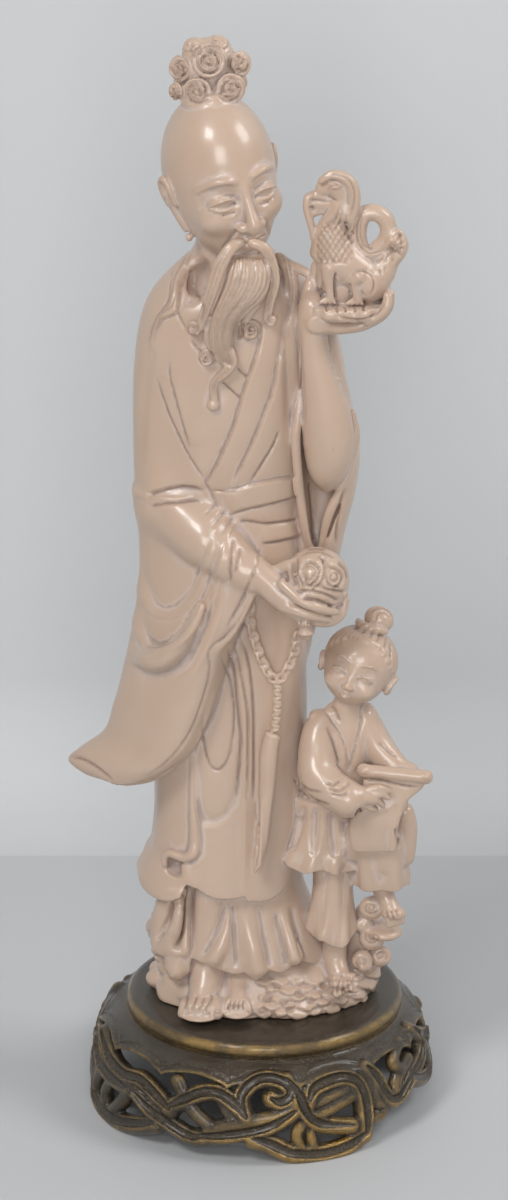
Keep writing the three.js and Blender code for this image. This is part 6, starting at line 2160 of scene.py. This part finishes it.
def mottleGroup():  # soft cloudy variation with a fine grain, used by both materials
    group = bpy.data.node_groups.new("mottle", "ShaderNodeTree")
    group.interface.new_socket("Scale", in_out="INPUT", socket_type="NodeSocketFloat").default_value = 60
    group.interface.new_socket("Broad", in_out="OUTPUT", socket_type="NodeSocketFloat")
    group.interface.new_socket("Fine", in_out="OUTPUT", socket_type="NodeSocketFloat")
    entry, leave = group.nodes.new("NodeGroupInput"), group.nodes.new("NodeGroupOutput")
    where = group.nodes.new("ShaderNodeTexCoord")
    broad = node(group, "ShaderNodeTexNoise", (0, 200), Detail=4.0, Roughness=0.6)
    fine = node(group, "ShaderNodeTexNoise", (0, -200), Detail=3.0, Roughness=0.7)
    times = group.nodes.new("ShaderNodeMath")
    times.operation = "MULTIPLY"
    times.inputs[1].default_value = 12.0
    group.links.new(entry.outputs["Scale"], broad.inputs["Scale"])
    group.links.new(entry.outputs["Scale"], times.inputs[0])
    group.links.new(times.outputs[0], fine.inputs["Scale"])
    for noise in (broad, fine):
        group.links.new(where.outputs["Object"], noise.inputs["Vector"])
    group.links.new(broad.outputs["Fac"], leave.inputs["Broad"])
    group.links.new(fine.outputs["Fac"], leave.inputs["Fine"])
    return group


def newMaterial(name):
    material = bpy.data.materials.new(name)
    material.use_nodes = True
    return material, material.node_tree, material.node_tree.nodes["Principled BSDF"]


def mask(tree, name, low, high):  # a mesh attribute stretched between two values
    read = tree.nodes.new("ShaderNodeAttribute")
    read.attribute_name = name
    spread = settle(tree.nodes.new("ShaderNodeMapRange"), From_Min=low, From_Max=high)
    tree.links.new(read.outputs["Fac"], spread.inputs["Value"])
    return spread.outputs["Result"]


def mixed(tree, share, first, second):
    mix = tree.nodes.new("ShaderNodeMix")
    mix.data_type = "RGBA"
    join(tree, ((mix.inputs["Factor"], share), (mix.inputs[6], first), (mix.inputs[7], second)))
    return mix.outputs[2]


def maths(tree, operation, first, second):
    made = tree.nodes.new("ShaderNodeMath")
    made.operation = operation
    made.use_clamp = True
    join(tree, zip(made.inputs, (first, second)))
    return made.outputs[0]


mottle = mottleGroup()


def mottled(tree, scale):
    cloudy = tree.nodes.new("ShaderNodeGroup")
    cloudy.node_tree = mottle
    cloudy.inputs["Scale"].default_value = scale
    return cloudy.outputs["Broad"], cloudy.outputs["Fine"]


def resinMaterial():
    material, tree, shader = newMaterial("dustyResin")
    broad, _ = mottled(tree, 45)
    tone = mixed(tree, maths(tree, "MULTIPLY", broad, 0.8), resinLook["tone"], resinLook["pale"])
    crowd = mask(tree, "crowd", 0.2, 0.95)
    hollow = mask(tree, "hollow", 0.14, 0.7)
    dusty = maths(tree, "ADD", maths(tree, "MULTIPLY", hollow, 0.6), maths(tree, "MULTIPLY", crowd, 0.35))
    dusty = maths(tree, "MULTIPLY", dusty, maths(tree, "ADD", maths(tree, "MULTIPLY", broad, 0.5), 0.65))
    # painted shade from carved grooves and pits: darker, less dusty and rougher there
    ink = mask(tree, "ink", 0.1, 1.0)
    dusty = maths(tree, "SUBTRACT", dusty, maths(tree, "MULTIPLY", ink, 0.5))
    tone = mixed(tree, dusty, tone, resinLook["dust"])
    # painted shade: darker brown in the deepest hollows
    tone = mixed(tree, maths(tree, "MULTIPLY", mask(tree, "hollow", 0.5, 1.0), 0.55), tone, resinLook["deep_shade"])
    tone = mixed(tree, maths(tree, "MULTIPLY", ink, 0.6), tone, resinLook["ink"])
    tree.links.new(tone, shader.inputs["Base Color"])
    rough = maths(tree, "ADD", maths(tree, "MULTIPLY", dusty, 0.3), maths(tree, "MULTIPLY", broad, 0.08))
    rough = maths(tree, "ADD", rough, maths(tree, "MULTIPLY", ink, 0.35))
    tree.links.new(maths(tree, "ADD", rough, 0.25), shader.inputs["Roughness"])
    settle(shader, Subsurface_Weight=0.15, Subsurface_Radius=(1.0, 0.55, 0.35), Subsurface_Scale=0.0025)
    settle(shader, Coat_Weight=0.25, Coat_Roughness=0.11, IOR=1.5)
    return material


def bronzeMaterial():
    material, tree, shader = newMaterial("rubbedBronzeAndSheen")
    broad, fine = mottled(tree, 130)
    tone = mixed(tree, broad, bronzeLook["patina"], bronzeLook["grey"])
    speck = maths(tree, "MULTIPLY", maths(tree, "SUBTRACT", fine, 0.52), 6.0)
    tone = mixed(tree, maths(tree, "MULTIPLY", speck, 0.6), tone, bronzeLook["dust"])
    patchy = maths(tree, "ADD", maths(tree, "MULTIPLY", maths(tree, "SUBTRACT", broad, 0.36), 3.0), 0.35)
    # gold on worn edges and rim, plus a painted sheen on the stand's front foot
    worn_and_sheen = maths(tree, "MULTIPLY", mask(tree, "edge", 0.26, 0.8), patchy)
    tone = mixed(tree, worn_and_sheen, tone, bronzeLook["gold"])
    tree.links.new(tone, shader.inputs["Base Color"])
    tree.links.new(maths(tree, "ADD", maths(tree, "MULTIPLY", worn_and_sheen, 0.35), 0.65), shader.inputs["Metallic"])
    dull = maths(tree, "MULTIPLY", mask(tree, "hollow", 0.1, 0.8), 0.2)
    rough = maths(tree, "ADD", dull, maths(tree, "MULTIPLY", fine, 0.28))
    tree.links.new(maths(tree, "ADD", rough, 0.07), shader.inputs["Roughness"])
    bump = node(tree, "ShaderNodeBump", (0, 0), Strength=0.7, Distance=0.0008)
    tree.links.new(fine, bump.inputs["Height"])
    tree.links.new(bump.outputs["Normal"], shader.inputs["Normal"])
    settle(shader, Coat_Weight=0.45, Coat_Roughness=0.13)
    return material


# The plain floor that turns up into a wall, in metres
backdrop = {
    "half": 3,
    "rows": [(-3.0, 0), (0.19, 0), (0.215, 0.004), (0.235, 0.02), (0.242, 0.05), (0.245, 2.5)],
    "tones": {"paleFloor": (0.51, 0.515, 0.52, 1), "paleWall": (0.58, 0.585, 0.59, 1)},
    "roughness": 0.6,
}
lights = [
    # name, place, aim, size, power, tint
    ("keyLight", (-0.56, -0.92, 1.25), (0, 0, 0.18), 0.42, 9.4, (1, 1, 1)),
    ("softBox", (0.92, -0.2, 1.03), (0, 0, 0.18), 0.5, 6.2, (0.98, 0.99, 1)),
    ("frontLight", (-0.05, -1.7, 0.72), (0, 0, 0.1), 0.7, 11.8, (1, 1, 1)),
]
room = {"Color": (0.92, 0.96, 1.0, 1), "Strength": 0.22}


def makeStage():
    rows, half = backdrop["rows"], backdrop["half"]
    points = [(x, y, z) for y, z in rows for x in (-half, half)]
    faces = [(2 * k, 2 * k + 1, 2 * k + 3, 2 * k + 2) for k in range(len(rows) - 1)]
    mesh = bpy.data.meshes.new("floor")
    mesh.from_pydata(points, [], faces)
    mesh.polygons.foreach_set("use_smooth", [True] * len(mesh.polygons))
    floor = bpy.data.objects.new("floor", mesh)
    bpy.context.scene.collection.objects.link(floor)
    for name, tone in backdrop["tones"].items():
        material, tree, shader = newMaterial(name)
        settle(shader, Base_Color=tone, Roughness=backdrop["roughness"])
        # clear when looked through from behind
        behind = tree.nodes.new("ShaderNodeNewGeometry").outputs["Backfacing"]
        tree.links.new(maths(tree, "SUBTRACT", 1.0, behind), shader.inputs["Alpha"])
        mesh.materials.append(material)
    for number, face in enumerate(mesh.polygons):
        face.material_index = int(number > 0)


def makeLight(name, place, aim, size, power, tint):
    data = bpy.data.lights.new(name, "AREA")
    data.shape, data.size, data.energy, data.color = "SQUARE", size, power, tint
    lamp = bpy.data.objects.new(name, data)
    bpy.context.scene.collection.objects.link(lamp)
    lamp.location = place
    lamp.rotation_euler = (Vector(aim) - Vector(place)).to_track_quat("-Z", "Y").to_euler()


def makeLights():
    for light in lights:
        makeLight(*light)
    world = bpy.data.worlds.new("room")
    bpy.context.scene.world = world
    world.use_nodes = True
    settle(world.node_tree.nodes["Background"], **room)
    bpy.context.scene.view_settings.view_transform = "Standard"


figure = makeFigure()
figure.data.materials.append(resinMaterial())
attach(figure, "root")
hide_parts("figure_group")
base = makeStand()
base.data.materials.append(bronzeMaterial())
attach(base, "root")
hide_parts("pierced_stand")
makeStage()
makeLights()
print("materials, floor and lights made")
